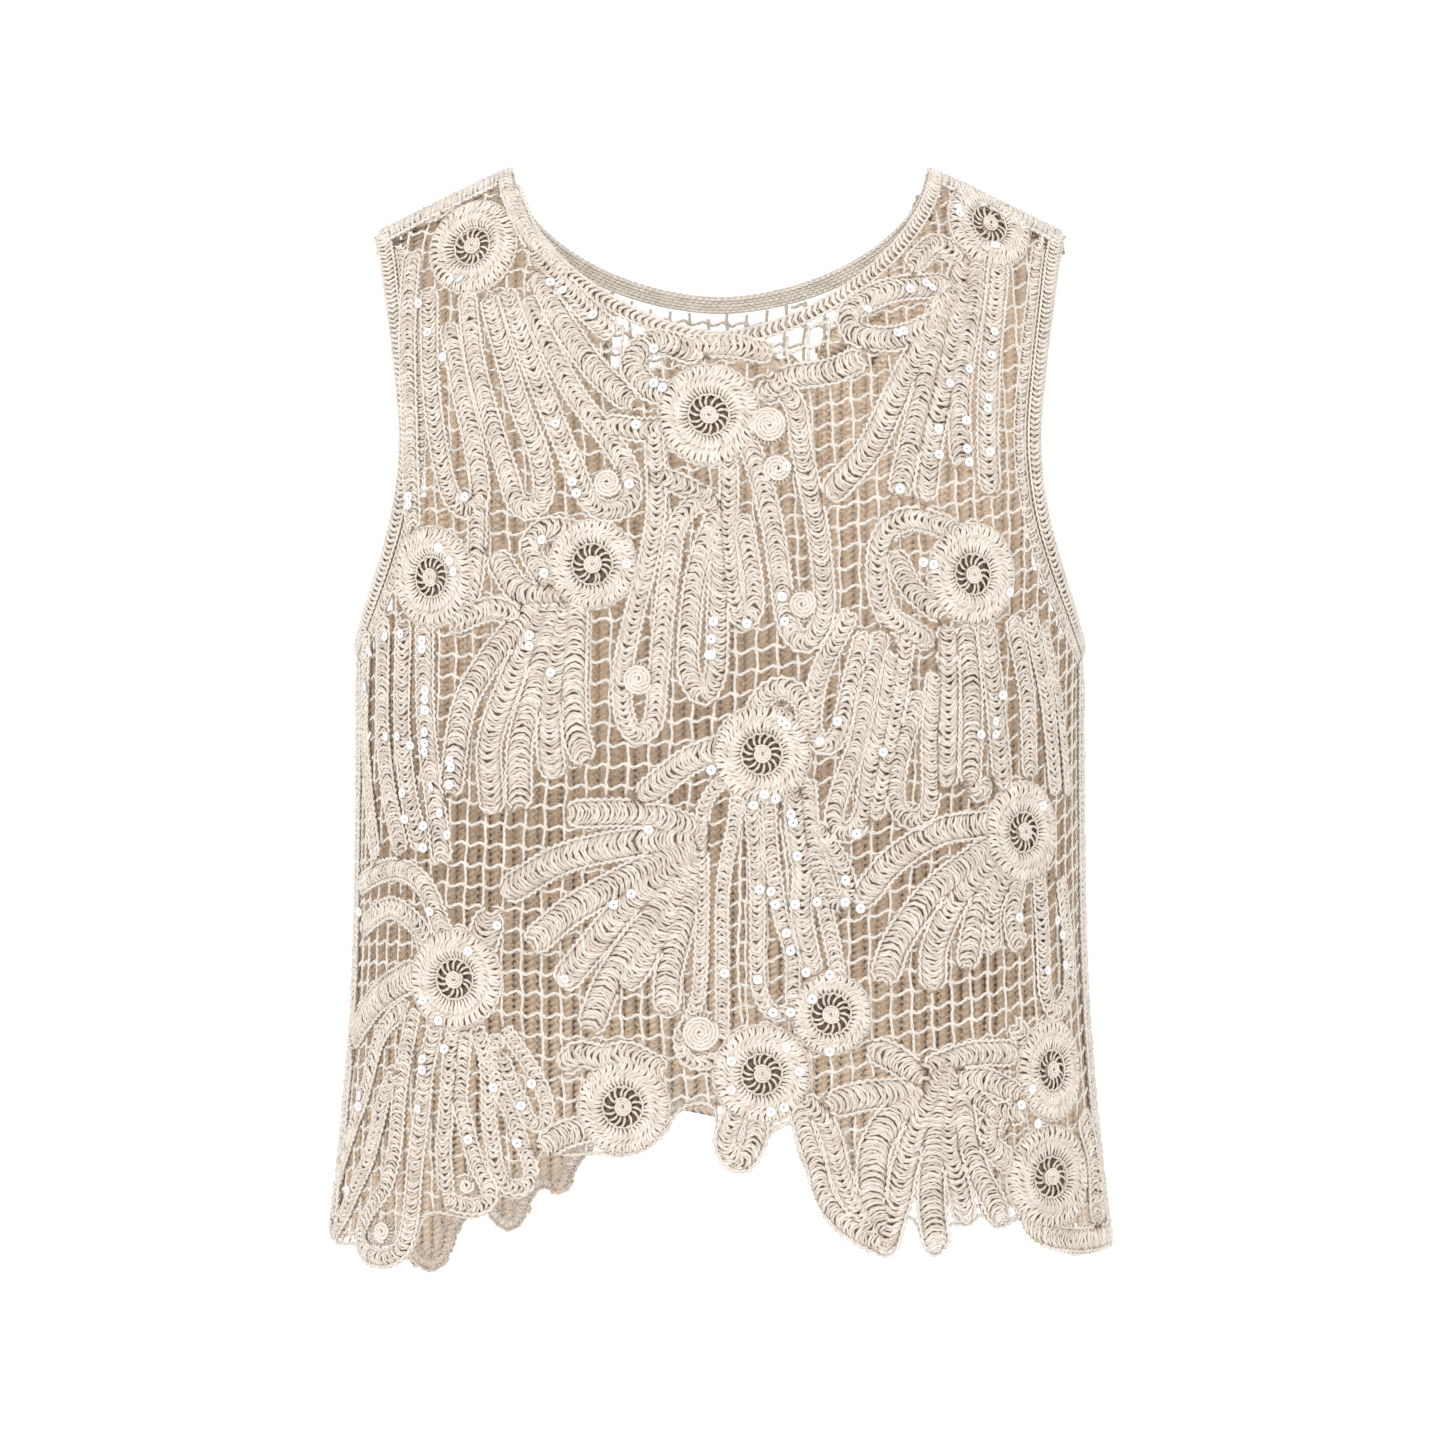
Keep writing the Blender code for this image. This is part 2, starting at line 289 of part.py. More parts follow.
class Chart:
    """Flat pattern of one side: s along the level section from the centre, z the height."""
    def __init__(self, side):
        self.side = side
        self.z = np.arange(-54.5, 1.51, 0.25)
        u = np.sin(np.linspace(0, 1, 241) * np.pi / 2)
        a = smooth(FORM[:, 0], FORM[:, 1], self.z)
        x = a[:, None] * u[None, :]
        y = depth(x, self.z[:, None] + 0 * x, side)
        seg = np.hypot(np.diff(x, axis=1), np.diff(y, axis=1))
        self.arc = np.concatenate([np.zeros((len(a), 1)), np.cumsum(seg, axis=1)], axis=1)
        self.u, self.a = u, a
        self.s = np.arange(0, 25.01, 0.1)
        self.x = np.array([np.interp(self.s, self.arc[k], x[k]) for k in range(len(a))])

    def level(self, z):
        f = np.clip((np.asarray(z, float) - self.z[0]) / 0.25, 0, len(self.z) - 1.001)
        i = f.astype(int)
        return i, f - i

    def edge(self, z):
        """s at the side seam."""
        i, t = self.level(z)
        return self.arc[i, -1] * (1 - t) + self.arc[i + 1, -1] * t

    def flat(self, x, z):
        """s of the point x across at height z."""
        x, z = np.atleast_1d(x).astype(float), np.atleast_1d(z).astype(float)
        out = []
        for xx, i, t in zip(x, *self.level(z)):
            v = [np.interp(abs(xx) / self.a[k], self.u, self.arc[k]) for k in (i, i + 1)]
            out.append(np.sign(xx) * (v[0] * (1 - t) + v[1] * t))
        return np.array(out)

    def across(self, s, z):
        i, t = self.level(z)
        f = np.clip(np.abs(s) / 0.1, 0, len(self.s) - 1.001)
        j = f.astype(int)
        w = f - j
        g = self.x
        v = ((g[i, j] * (1 - w) + g[i, j + 1] * w) * (1 - t)
             + (g[i + 1, j] * (1 - w) + g[i + 1, j + 1] * w) * t)
        return np.sign(s) * v

    def folds(self, s, z):
        """Flutes: rounded waves that grow from the waist to the hem, none at the seams."""
        t = np.clip((-20 - z) / 32.0, 0, 1)
        t = t * t * (3 - 2 * t)
        w = np.clip(1 - np.abs(s) / self.edge(z), 0, 1)
        w = np.clip(w / 0.15, 0, 1)
        v = 0
        for s0, drift, half, high in FOLDS[self.side]:
            v = v + high * np.exp(-((s - s0 - drift * (z + 50)) / half)**2)
        return v * t * w * w * (3 - 2 * w)

    def base(self, s, z):
        x = self.across(s, z)
        return np.stack([x, depth(x, z, self.side), np.asarray(z, float)], axis=-1)

    def surface(self, s, z, off):
        """Worn shape moved out along its own normal by off plus the flutes."""
        s, z = np.asarray(s, float), np.asarray(z, float)
        lim = self.edge(z) - 0.02
        p = self.base(s, z)
        s1, s0 = np.clip(s + 0.15, -lim, lim), np.clip(s - 0.15, -lim, lim)
        du = self.base(s1, z) - self.base(s0, z)
        x = p[..., 0]
        up = np.minimum(z + 0.15, np.maximum(ridge(x) - 0.02, z - 0.10))
        dv = self.base(s, up) - self.base(s, up - 0.30)
        n = np.cross(du, dv) * (-self.side)
        n /= np.linalg.norm(n, axis=-1, keepdims=True)
        return p + n * (off + self.folds(s, z))[..., None]

    def shoulder(self, x, off):
        """Point of the shoulder seam: on y = 0, moved square to the shoulder line."""
        x = float(x)
        g = SLOPE * x / np.sqrt(x * x + 9.0)
        n = np.array([g, 0.0, 1.0]) / np.hypot(g, 1.0)
        return np.array([x, 0.0, ridge(x)]) + n * off

    def side_seam(self, sign, z, off):
        a = float(smooth(FORM[:, 0], FORM[:, 1], z))
        return np.array([sign * (a + off), 0.0, z])


def curve(points, step):
    """Catmull-Rom through the points, resampled at about one step."""
    p = np.array(points, float)
    if len(p) > 2:
        q = np.vstack([2 * p[0] - p[1], p, 2 * p[-1] - p[-2]])
        t = np.linspace(0, 1, 9)[:-1][:, None]
        out = []
        for k in range(len(p) - 1):
            a, b, c, d = q[k:k + 4]
            out.append(0.5 * (2 * b + (c - a) * t + (2 * a - 5 * b + 4 * c - d) * t**2
                              + (3 * b - a - 3 * c + d) * t**3))
        p = np.vstack(out + [p[-1:]])
    d = np.concatenate([[0], np.cumsum(np.linalg.norm(np.diff(p, axis=0), axis=1))])
    n = max(2, int(round(d[-1] / step)) + 1)
    t = np.linspace(0, d[-1], n)
    return np.stack([np.interp(t, d, p[:, k]) for k in (0, 1)], axis=1)


def gap_to(points, line):
    """Distance of each point from a polyline."""
    a, b = line[:-1], line[1:]
    v = b - a
    w = points[:, None, :] - a[None]
    t = np.clip((w * v).sum(-1) / np.maximum((v * v).sum(-1), 1e-9), 0, 1)
    return np.linalg.norm(w - t[..., None] * v, axis=-1).min(axis=1)


def inside(points, poly):
    x, y = points[:, 0][:, None], points[:, 1][:, None]
    a, b = poly, np.roll(poly, -1, axis=0)
    hit = (a[:, 1] > y) != (b[:, 1] > y)
    cut = a[:, 0] + (y - a[:, 1]) * (b[:, 0] - a[:, 0]) / np.where(a[:, 1] == b[:, 1], 1, b[:, 1] - a[:, 1])
    return ((hit & (x < cut)).sum(axis=1) % 2) == 1


class Motifs:
    """Raised work of one panel in the flat pattern."""
    def __init__(self, side):
        k = 1 if side < 0 else -1
        self.wheels = [(k * s, z, r, wide) for s, z, r, wide in WHEELS]
        if side > 0:
            self.wheels = [w for w in self.wheels if w[1] > -42.5 or abs(w[0]) > 10]
            self.wheels = [(s, z + 1.2 if abs(s) < 3 and z < -41 else z, r, wide)
                           for s, z, r, wide in self.wheels]
        self.roses = [(k * s, z, r, 1.0) for s, z, r in ROSES if side < 0 or z > -47.5]
        rows = CORDS + STRIPS if side < 0 else CORDS + STRIPS + BACK_MORE
        self.cords = [(c[0], curve([(k * p[0], p[1]) for p in c[1:]], 0.35)) for c in rows]
        self.slits = [np.array([(k * p[0], p[1]) for p in q]) for q in SLITS if side < 0 or q[0][1] > -41]

    def clear(self, pts):
        """Free distance to the nearest raised edge."""
        d = np.full(len(pts), 9.0)
        for s, z, r, wide in self.wheels + self.roses:
            d = np.minimum(d, np.hypot((pts[:, 0] - s) / wide, pts[:, 1] - z) - r)
        for w, line in self.cords:
            d = np.minimum(d, gap_to(pts, line) - w / 2)
        return d

    def relief(self, pts):
        """Height over the net: rounded cords, ringed wheels with a hub, domed rosettes."""
        h = np.zeros(len(pts))
        for w, line in self.cords:
            t = np.clip(1 - (gap_to(pts, line) / (w / 2))**2, 0, 1)
            h = np.maximum(h, 0.24 * np.sqrt(t))
        for s, z, r, wide in self.wheels:
            d = np.hypot((pts[:, 0] - s) / wide, pts[:, 1] - z)
            m, half = (r + EYE) / 2, (r - EYE) / 2
            ring = np.sqrt(np.clip(1 - ((d - m) / half)**2, 0, 1)) * 0.30
            hub = np.sqrt(np.clip(1 - (d / (HUB + 0.12))**2, 0, 1)) * 0.22
            h = np.where(d < r, np.where(d > EYE, ring, hub), h)
        for s, z, r, _ in self.roses:
            d = np.hypot(pts[:, 0] - s, pts[:, 1] - z)
            h = np.where(d < r, np.maximum(h, 0.10 + 0.16 * np.sqrt(np.clip(1 - (d / r)**2, 0, 1))), h)
        return h


# cords only the back has, the first three down to its lower hem points
BACK_MORE = [
    (0.90, (15.6, -48.8), (15.7, -51.0), (15.3, -52.1), (14.5, -52.4), (13.7, -52.0), (13.3, -50.7),
     (13.1, -48.8)),
    (1.10, (11.6, -46.0), (11.2, -48.6), (10.6, -50.1)),
    (1.10, (9.4, -45.6), (8.9, -47.2), (8.4, -48.4)),
    (1.30, (-2.0, -8.4), (0.0, -8.9), (2.2, -8.6)),
    (1.20, (-6.6, -6.4), (-8.6, -6.0), (-9.6, -7.6), (-8.4, -9.2)),
    (1.20, (6.6, -6.4), (8.6, -6.0), (9.6, -7.6), (8.4, -9.2)),
]


def arm_edge(chart):
    """Armhole edge of one side (x > 0) in the flat pattern with its band edge."""
    grow = 0.0 if chart.side < 0 else 0.25
    z = np.array([r[0] for r in ARM])
    x = np.array([r[1] for r in ARM]) + grow * np.sin(np.pi * (z - ARM_LOW) / (-ARM_LOW - 3.1))
    rows = np.vstack([[ARM_TOP, ridge(ARM_TOP)], np.stack([x, z], axis=1)])
    flat = np.stack([chart.flat(rows[:, 0], rows[:, 1]), rows[:, 1]], axis=1)
    flat = np.vstack([flat, [chart.edge(ARM_LOW), ARM_LOW]])
    line = curve(flat, 1.25)
    line[0], line[-1] = flat[0], flat[-1]
    t = np.gradient(line, axis=0)
    n = np.stack([t[:, 1], -t[:, 0]], axis=1)
    n /= np.linalg.norm(n, axis=1, keepdims=True)
    n[n[:, 0] > 0] *= -1
    n[-1] = (0, -1)
    n[0] = (-1, 0)
    return line, n


def neck_edge(chart):
    """Neckline and band edge as paired stations from the right neck point to the left."""
    low, power = (-8.3, 1.65) if chart.side < 0 else (-5.5, 1.8)
    count = 33 if chart.side < 0 else 29
    out = []
    for grow in (0.0, NECK_BAND, NECK_BAND + GAP):
        w = 9.8 + grow
        top, end = ridge(w), low - grow
        a = np.linspace(0, np.pi, count)
        # even steps along the curve
        f = np.linspace(0, np.pi, 2001)
        cx = w * np.sign(np.cos(f)) * np.abs(np.cos(f))**(2 / power)
        cz = top - (top - end) * np.abs(np.sin(f))**(2 / power)
        d = np.concatenate([[0], np.cumsum(np.hypot(np.diff(cx), np.diff(cz)))])
        t = np.linspace(0, d[-1], count)
        out.append(np.stack([np.interp(t, d, cx), np.interp(t, d, cz)], axis=1))
    return out


def flat_of(chart, xz):
    return np.stack([chart.flat(xz[:, 0], xz[:, 1]), xz[:, 1]], axis=1)


def band_ring(front, back, name, colour, kind):
    """Edging: one closed ring of six-sided sections, front stations then back stations."""
    rows = []
    for chart, (outer, inner, ends) in ((front, kind(front)), (back, kind(back))):
        n = len(outer)
        part = []
        for k in range(n):
            sec = []
            for j, off in (("o", INNER + 0.02), ("i", INNER + 0.02), ("i", 0.0), ("m", None), ("o", 0.0)):
                if off is None:
                    off = 0.13 if k % 2 else 0.05
                if k in (0, n - 1):
                    pick = ends[0 if k == 0 else 1]
                    a, b = pick("o", off), pick("i", off)
                    sec.append(a if j == "o" else b if j == "i" else (a + b) / 2)
                else:
                    q = outer[k] if j == "o" else inner[k] if j == "i" else (outer[k] + inner[k]) / 2
                    sec.append(chart.surface(np.array([q[0]]), np.array([q[1]]), np.array([off]))[0])
            part.append(sec)
        rows.append(part)
    ring = rows[0] + rows[1][::-1][1:-1]
    verts = np.array(ring).reshape(-1, 3)
    m, k = len(ring), len(ring[0])
    faces = []
    for i in range(m):
        for j in range(k):
            a, b = i * k + j, i * k + (j + 1) % k
            c, d = ((i + 1) % m) * k + (j + 1) % k, ((i + 1) % m) * k + j
            faces += [(a, b, c), (a, c, d)]
    return solid(name, verts, faces, colour)


def solid(name, verts, faces, colour):
    mesh = bpy.data.meshes.new(name)
    mesh.from_pydata([tuple(v * 0.01) for v in verts], [], faces)
    bm = bmesh.new()
    bm.from_mesh(mesh)
    bmesh.ops.recalc_face_normals(bm, faces=bm.faces)
    bm.to_mesh(mesh)
    bm.free()
    mesh.update()
    mat = bpy.data.materials.new(name + "_yarn")
    mat.use_nodes = True
    node = mat.node_tree.nodes["Principled BSDF"]
    node.inputs["Base Color"].default_value = colour
    node.inputs["Roughness"].default_value = 0.9
    mesh.materials.append(mat)
    obj = bpy.data.objects.new(name, mesh)
    HOME.objects.link(obj)
    print(name, len(mesh.polygons), "triangles")
    return obj


def cells(chart, motifs, outline, most, low, wide, seed):
    """The largest net gaps in a stretch: a skewed lattice, corners drawn in near raised work."""
    pitch, half = 0.95, 0.375
    i, j = np.meshgrid(np.arange(-26, 27), np.arange(-60, 4))
    c = np.stack([i.ravel(), j.ravel()], axis=1) * pitch
    k = 1 if chart.side < 0 else -1

    def warp(p):
        s = p[:, 0] * k
        rise = 0.13 * (np.sqrt((s - 2)**2 + 9) + (s - 2))
        return np.stack([p[:, 0] + 0.25 * np.sin(p[:, 1] * 0.21 + seed), p[:, 1] + rise
                         + 0.2 * np.sin(p[:, 0] * 0.3 + seed)], axis=1)

    loop = np.vstack([outline, outline[:1]])
    rings = [np.vstack([q, q[:1]]) for q in motifs.slits]

    def free(p):
        d = np.minimum(motifs.clear(p), gap_to(p, loop) - 0.25)
        d = np.where(inside(p, outline), d, -1)
        for q, ring in zip(motifs.slits, rings):
            d = np.minimum(d, np.where(inside(p, q), -1, gap_to(p, ring) - 0.2))
        return d

    mid = warp(c)
    keep = (free(mid) > 0.16) & (mid[:, 1] > low) & (np.abs(mid[:, 0]) < wide)
    c, mid = c[keep], mid[keep]
    reach = np.zeros((len(c), 4))
    corner = np.array([(-half, -half), (half, -half), (half, half), (-half, half)])
    for step in np.linspace(0.3, 1.0, 15):
        for q in range(4):
            ok = free(warp(c + corner[q] * step)) > 0.0
            up = ok & (np.abs(reach[:, q] - (step - 0.05)) < 0.051) if step > 0.31 else ok
            reach[up, q] = step
    quads = np.stack([warp(c + corner[q] * reach[:, q:q + 1]) for q in range(4)], axis=1)
    x, y = quads[..., 0], quads[..., 1]
    area = 0.5 * np.abs(sum(x[:, q] * y[:, (q + 1) % 4] - x[:, (q + 1) % 4] * y[:, q] for q in range(4)))
    ok = (reach.min(axis=1) > 0.35) & (area > 0.24)
    print("net cells", int(ok.sum()))
    score = area - 0.02 * np.maximum(np.abs(mid[:, 0]) - 17, 0)
    score[~ok] = -9
    pick = np.argsort(-score, kind="stable")[:min(most, int(ok.sum()))]
    return [quads[q] for q in sorted(pick)]


def lattice(step):
    """Square grid of points over the whole flat pattern."""
    s, z = np.meshgrid(np.arange(-24, 25, step), np.arange(-53, 0, step))
    return np.stack([s.ravel(), z.ravel()], axis=1)


def crosses(a, b, c, d):
    """Do segments ab and each cd cross."""
    def turn(p, q, r):
        u, v = q - p, r - p
        return u[..., 0] * v[..., 1] - u[..., 1] * v[..., 0]
    return (turn(a, b, c) * turn(a, b, d) < 0) & (turn(c, d, a) * turn(c, d, b) < 0)


def triangles(points, edges, outline, holes):
    vs, es, fs, ov, oe, of = delaunay_2d_cdt([Vector(p) for p in points], edges, [], 0, 1e-5)
    vs = np.array([tuple(v) for v in vs])
    if len(vs) != len(points):
        raise ValueError("net points moved: %d of %d" % (len(vs), len(points)))
    home = [o[0] for o in ov]
    tri = np.array([[home[k] for k in f] for f in fs])
    mid = points[tri].mean(axis=1)
    keep = inside(mid, outline)
    for h in holes:
        near = (np.abs(mid - h.mean(axis=0)) < 4).all(axis=1)
        keep[near] &= ~inside(mid[near], h)
    return tri[keep]


def panel(chart, name, colour, hem, most, low, wide, seed):
    side = chart.side
    motifs = Motifs(side)
    # boundary stations; those on a seam plane are pulled 0.15 mm off it
    out_pts, spots = [], []

    arm, arm_n = arm_edge(chart)
    arm_in = arm + arm_n * (ARM_BAND + GAP)
    tip_x = ARM_TOP - (ARM_BAND + GAP) * 0.9
    arm_in[0] = (chart.flat(tip_x, ridge(tip_x))[0], ridge(tip_x))
    arm_in[-1] = (chart.edge(ARM_LOW - ARM_BAND - GAP), ARM_LOW - ARM_BAND - GAP)
    neck = neck_edge(chart)[2]
    hem = curve(hem, 0.75)
    # hem from left to right, then up the right side, over to the left and down
    for p in hem:
        out_pts.append(p)
    zs = np.linspace(HEM_SIDE, arm_in[-1][1], 16)
    for z in zs:
        spots.append((len(out_pts), "side", (1, z)))
        out_pts.append((chart.edge(z), z))
    for p in arm_in[1:-1][::-1]:
        out_pts.append(p)
    for x in np.linspace(tip_x, neck[0][0], 5):
        spots.append((len(out_pts), "top", (x,)))
        out_pts.append((chart.flat(x, ridge(x))[0], ridge(x)))
    for p in flat_of(chart, neck[1:-1]):
        out_pts.append(p)
    for x in np.linspace(neck[0][0], tip_x, 5):
        spots.append((len(out_pts), "top", (-x,)))
        out_pts.append((-chart.flat(x, ridge(x))[0], ridge(x)))
    for p in arm_in[1:-1]:
        out_pts.append((-p[0], p[1]))
    for z in zs[::-1]:
        spots.append((len(out_pts), "side", (-1, z)))
        out_pts.append((-chart.edge(z), z))
    outline = np.array(out_pts, float)
    n0 = len(outline)
    holes = [q for q in motifs.slits] + cells(chart, motifs, outline, most, low, wide, seed)
    points = [outline] + holes
    loops, k = [np.arange(n0)], n0
    for h in holes:
        loops.append(np.arange(k, k + len(h)))
        k += len(h)
    rim = np.vstack(points)
    edges = [(int(a), int(b)) for lp in loops for a, b in zip(lp, np.roll(lp, -1))]

    # ridge, border and lattice points for the outer face
    store = {"n": len(rim), "p": np.vstack([rim, np.zeros((6000, 2))]), "wish": []}

    def usable(line):
        ok = inside(line, outline)
        for h in holes:
            near = ok & (np.abs(line - h.mean(axis=0)) < 4).all(axis=1)
            if near.any():
                ok[near] &= ~inside(line[near], h)
        return ok

    def trail(line, d, closed=False):
        """Add a chain of points, remember the wished edges between neighbours."""
        line = np.array(line, float)
        last, first = None, None
        for p, ok in zip(line, usable(line)):
            q = store["p"][:store["n"]]
            if ok and ((q - p)**2).sum(axis=1).min() > d * d:
                now = store["n"]
                store["p"][now] = p
                store["n"] += 1
                if last is not None:
                    store["wish"].append((last, now))
                last = now
                first = now if first is None else first
            else:
                last = None
        if closed and last is not None and first is not None and first != last:
            store["wish"].append((last, first))

    for s, z, r, wide in motifs.wheels:
        for rad, count, gap in (((r + EYE) / 2, 11, 0.3), (EYE, 8, 0.22), (r, 12, 0.35)):
            a = np.arange(count) / count * 2 * np.pi + 0.3
            trail(np.stack([s + rad * np.cos(a) * wide, z + rad * np.sin(a)], axis=1), gap, True)
        trail([(s, z)], 0.3)
        a = np.arange(5) / 5 * 2 * np.pi
        trail(np.stack([s + 0.55 * np.cos(a), z + 0.55 * np.sin(a)], axis=1), 0.2, True)
    for s, z, r, _ in motifs.roses:
        trail([(s, z)], 0.25)
        a = np.arange(8) / 8 * 2 * np.pi
        trail(np.stack([s + r * np.cos(a), z + r * np.sin(a)], axis=1), 0.25, True)
    for w, line in motifs.cords:
        trail(curve(line, 1.15), 0.30)
    for w, line in motifs.cords:
        for sign in (1, -1):
            t = np.gradient(line, axis=0)
            t /= np.linalg.norm(t, axis=1, keepdims=True)
            row = line + sign * (w / 2 + 0.02) * np.stack([-t[:, 1], t[:, 0]], axis=1)
            high = motifs.relief(row)
            row = row[high < 0.10]
            if len(row) > 3:
                trail(curve(row[::2], 1.35), 0.38)
    trail(lattice(2.0), 0.9)
    points, wish = store["p"][:store["n"]].copy(), list(store["wish"])

    # keep a wished edge when nothing crosses it and no other point is near it
    fixed = list(edges)
    for a, b in wish:
        if np.hypot(*(points[a] - points[b])) > 2.0:
            continue
        arr = np.array(fixed)
        c, d = points[arr[:, 0]], points[arr[:, 1]]
        near = (np.abs((c + d) / 2 - (points[a] + points[b]) / 2) < 4).all(axis=1)
        share = (arr == a).any(axis=1) | (arr == b).any(axis=1)
        if crosses(points[a], points[b], c[near & ~share], d[near & ~share]).any():
            continue
        gap = gap_to(points, points[[a, b]])
        gap[[a, b]] = 9
        if gap.min() < 0.06:
            continue
        fixed.append((a, b))

    tri_o = triangles(points, fixed, outline, holes)
    store["n"] = len(rim)
    trail(lattice(2.5), 1.2)
    flat_i = store["p"][:store["n"]].copy()
    tri_i = triangles(flat_i, edges, outline, holes)

    high = motifs.relief(points)
    high[:n0] *= 0.35
    outer = chart.surface(points[:, 0], points[:, 1], OUTER + high)
    inner = chart.surface(flat_i[:, 0], flat_i[:, 1], np.full(len(flat_i), INNER))
    for at, kind, arg in spots:
        for arr, off in ((outer, OUTER + high[at]), (inner, INNER)):
            p = chart.side_seam(arg[0], arg[1], off) if kind == "side" else chart.shoulder(abs(arg[0]), off)
            if kind == "top" and arg[0] < 0:
                p = p * (-1, 1, 1)
            p[1] = side * 0.015
            arr[at] = p
    for arr in (outer, inner):
        arr[:, 1] = np.maximum(arr[:, 1] * side, 0.015) * side
    base = len(outer)
    verts = np.vstack([outer, inner])
    faces = [tuple(t) for t in tri_o] + [tuple(t[::-1] + base) for t in tri_i]
    for a, b in edges:
        faces += [(b, a, a + base), (b, a + base, b + base)]
    faces = [tuple(int(v) for v in f) for f in faces]
    print(name, "outer", len(tri_o), "inner", len(tri_i), "gaps", len(holes))
    return solid(name, verts, faces, colour)


for old in list(bpy.data.objects):
    bpy.data.objects.remove(old, do_unlink=True)
HOME = bpy.data.collections.new("crochet_top")
bpy.context.scene.collection.children.link(HOME)

front, back = Chart(-1), Chart(1)
# open net all over the front; on the back only below the neck, and ribbed ground under that
panel(front, "front_panel", COLOUR, HEM, *FRONT_NET)
panel(back, "back_panel", COLOUR, HEM_BACK, *BACK_NET)


def neck_kind(chart):
    outer, inner, _ = neck_edge(chart)

    def end(sign):
        def pick(which, off):
            x = 9.8 if which == "o" else 9.8 + NECK_BAND
            p = chart.shoulder(x, off)
            return p * (sign, 1, 1)
        return pick
    return flat_of(chart, outer), flat_of(chart, inner), (end(1), end(-1))


def arm_kind(sign):
    def kind(chart):
        line, n = arm_edge(chart)
        inner = line + n * ARM_BAND

        def top(which, off):
            x = ARM_TOP - (0 if which == "o" else ARM_BAND * 0.9)
            return chart.shoulder(x, off) * (sign, 1, 1)

        def low(which, off):
            z = ARM_LOW - (0 if which == "o" else ARM_BAND)
            return chart.side_seam(sign, z, off)
        m = np.array([sign, 1])
        return line * m, inner * m, (top, low)
    return kind


band_ring(front, back, "neck_band", COLOUR, neck_kind)
band_ring(front, back, "armhole_band_left", COLOUR, arm_kind(-1))
band_ring(front, back, "armhole_band_right", COLOUR, arm_kind(1))
total = sum(len(o.data.polygons) for o in HOME.objects)
print("all", total, "triangles")
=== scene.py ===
import bpy
import numpy as np
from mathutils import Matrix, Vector


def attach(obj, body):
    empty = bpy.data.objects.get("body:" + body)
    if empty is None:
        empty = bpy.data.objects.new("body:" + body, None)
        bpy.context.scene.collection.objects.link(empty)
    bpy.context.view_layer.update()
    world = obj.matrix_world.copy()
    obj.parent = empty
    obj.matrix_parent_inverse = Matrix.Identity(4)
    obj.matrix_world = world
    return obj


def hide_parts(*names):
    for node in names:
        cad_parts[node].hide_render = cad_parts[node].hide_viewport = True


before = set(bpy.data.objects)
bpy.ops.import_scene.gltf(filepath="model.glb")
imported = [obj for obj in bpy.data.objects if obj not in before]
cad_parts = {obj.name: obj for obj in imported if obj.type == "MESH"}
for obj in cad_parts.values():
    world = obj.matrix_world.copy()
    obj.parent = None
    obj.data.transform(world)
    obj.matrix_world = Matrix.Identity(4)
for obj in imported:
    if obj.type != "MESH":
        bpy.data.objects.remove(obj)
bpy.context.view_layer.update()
draws = np.random.default_rng(41)

wornForm = {
    # height, half width, front depth, back depth
    "rows": np.array([(-55.0, 19.0, 11.1, 10.6), (-46.0, 17.9, 10.7, 9.9), (-39.0, 17.3, 10.6, 9.4),
                      (-31.0, 17.1, 11.0, 9.2), (-22.5, 17.1, 11.5, 9.7), (-15.0, 17.3, 11.2, 10.0),
                      (-8.0, 17.5, 10.8, 9.8), (2.0, 17.8, 10.3, 9.3)]),
    "roundness": 2.3,
    "leanFrom": -20.0, "leanPower": 2.3, "leanShare": 0.72,
    "neckHalf": 9.9, "shoulderFall": 0.5, "ridgeSoft": 9.0, "ridgeLift": 0.22,
    # soft flutes start here, are full this far below and fade in this share of the way to the seams;
    # each: place at the hem's height, drift, half width, height
    "fluteFrom": -20, "fluteReach": 32.0, "fluteHem": -50, "fluteSoft": 0.15,
    "flutes": {-1: [(-16.0, 0.10, 1.9, 0.35), (-9.0, 0.06, 2.3, -0.45), (-2.0, 0.0, 2.6, 0.40),
                    (5.5, -0.05, 2.2, -0.45), (12.5, -0.08, 2.3, 0.40)],
               1: [(-14.0, 0.08, 2.3, 0.40), (-6.0, 0.04, 2.4, -0.45), (1.5, 0.0, 2.6, 0.45),
                   (8.5, -0.05, 2.3, -0.40), (15.5, -0.08, 2.1, 0.35)]},
    "sideLow": -50.3,
    # the flat pattern's lowest and highest level, its reach from the middle, its steps up and across
    "levels": (-54.5, 1.51), "reach": 25.01, "levelStep": 0.25, "acrossStep": 0.1,
    # half the distance over which the cloth's slope is read
    "probe": 0.15,
}


def tableCurve(xs, ys, x):
    # cubic between table rows, slope at each row from its neighbours
    slope = np.gradient(ys, xs)
    x = np.asarray(x, float)
    i = np.clip(np.searchsorted(xs, x) - 1, 0, len(xs) - 2)
    h = xs[i + 1] - xs[i]
    t = (x - xs[i]) / h
    return ((2 * t**3 - 3 * t**2 + 1) * ys[i] + (t**3 - 2 * t**2 + t) * h * slope[i]
            + (3 * t**2 - 2 * t**3) * ys[i + 1] + (t**3 - t**2) * h * slope[i + 1])


def ridgeHeight(x):
    # shoulder line: zero at the neck points, falling one in two, rounded in the middle
    f = wornForm
    return f["shoulderFall"] * (f["neckHalf"] - np.sqrt(x * x + f["ridgeSoft"])) + f["ridgeLift"]


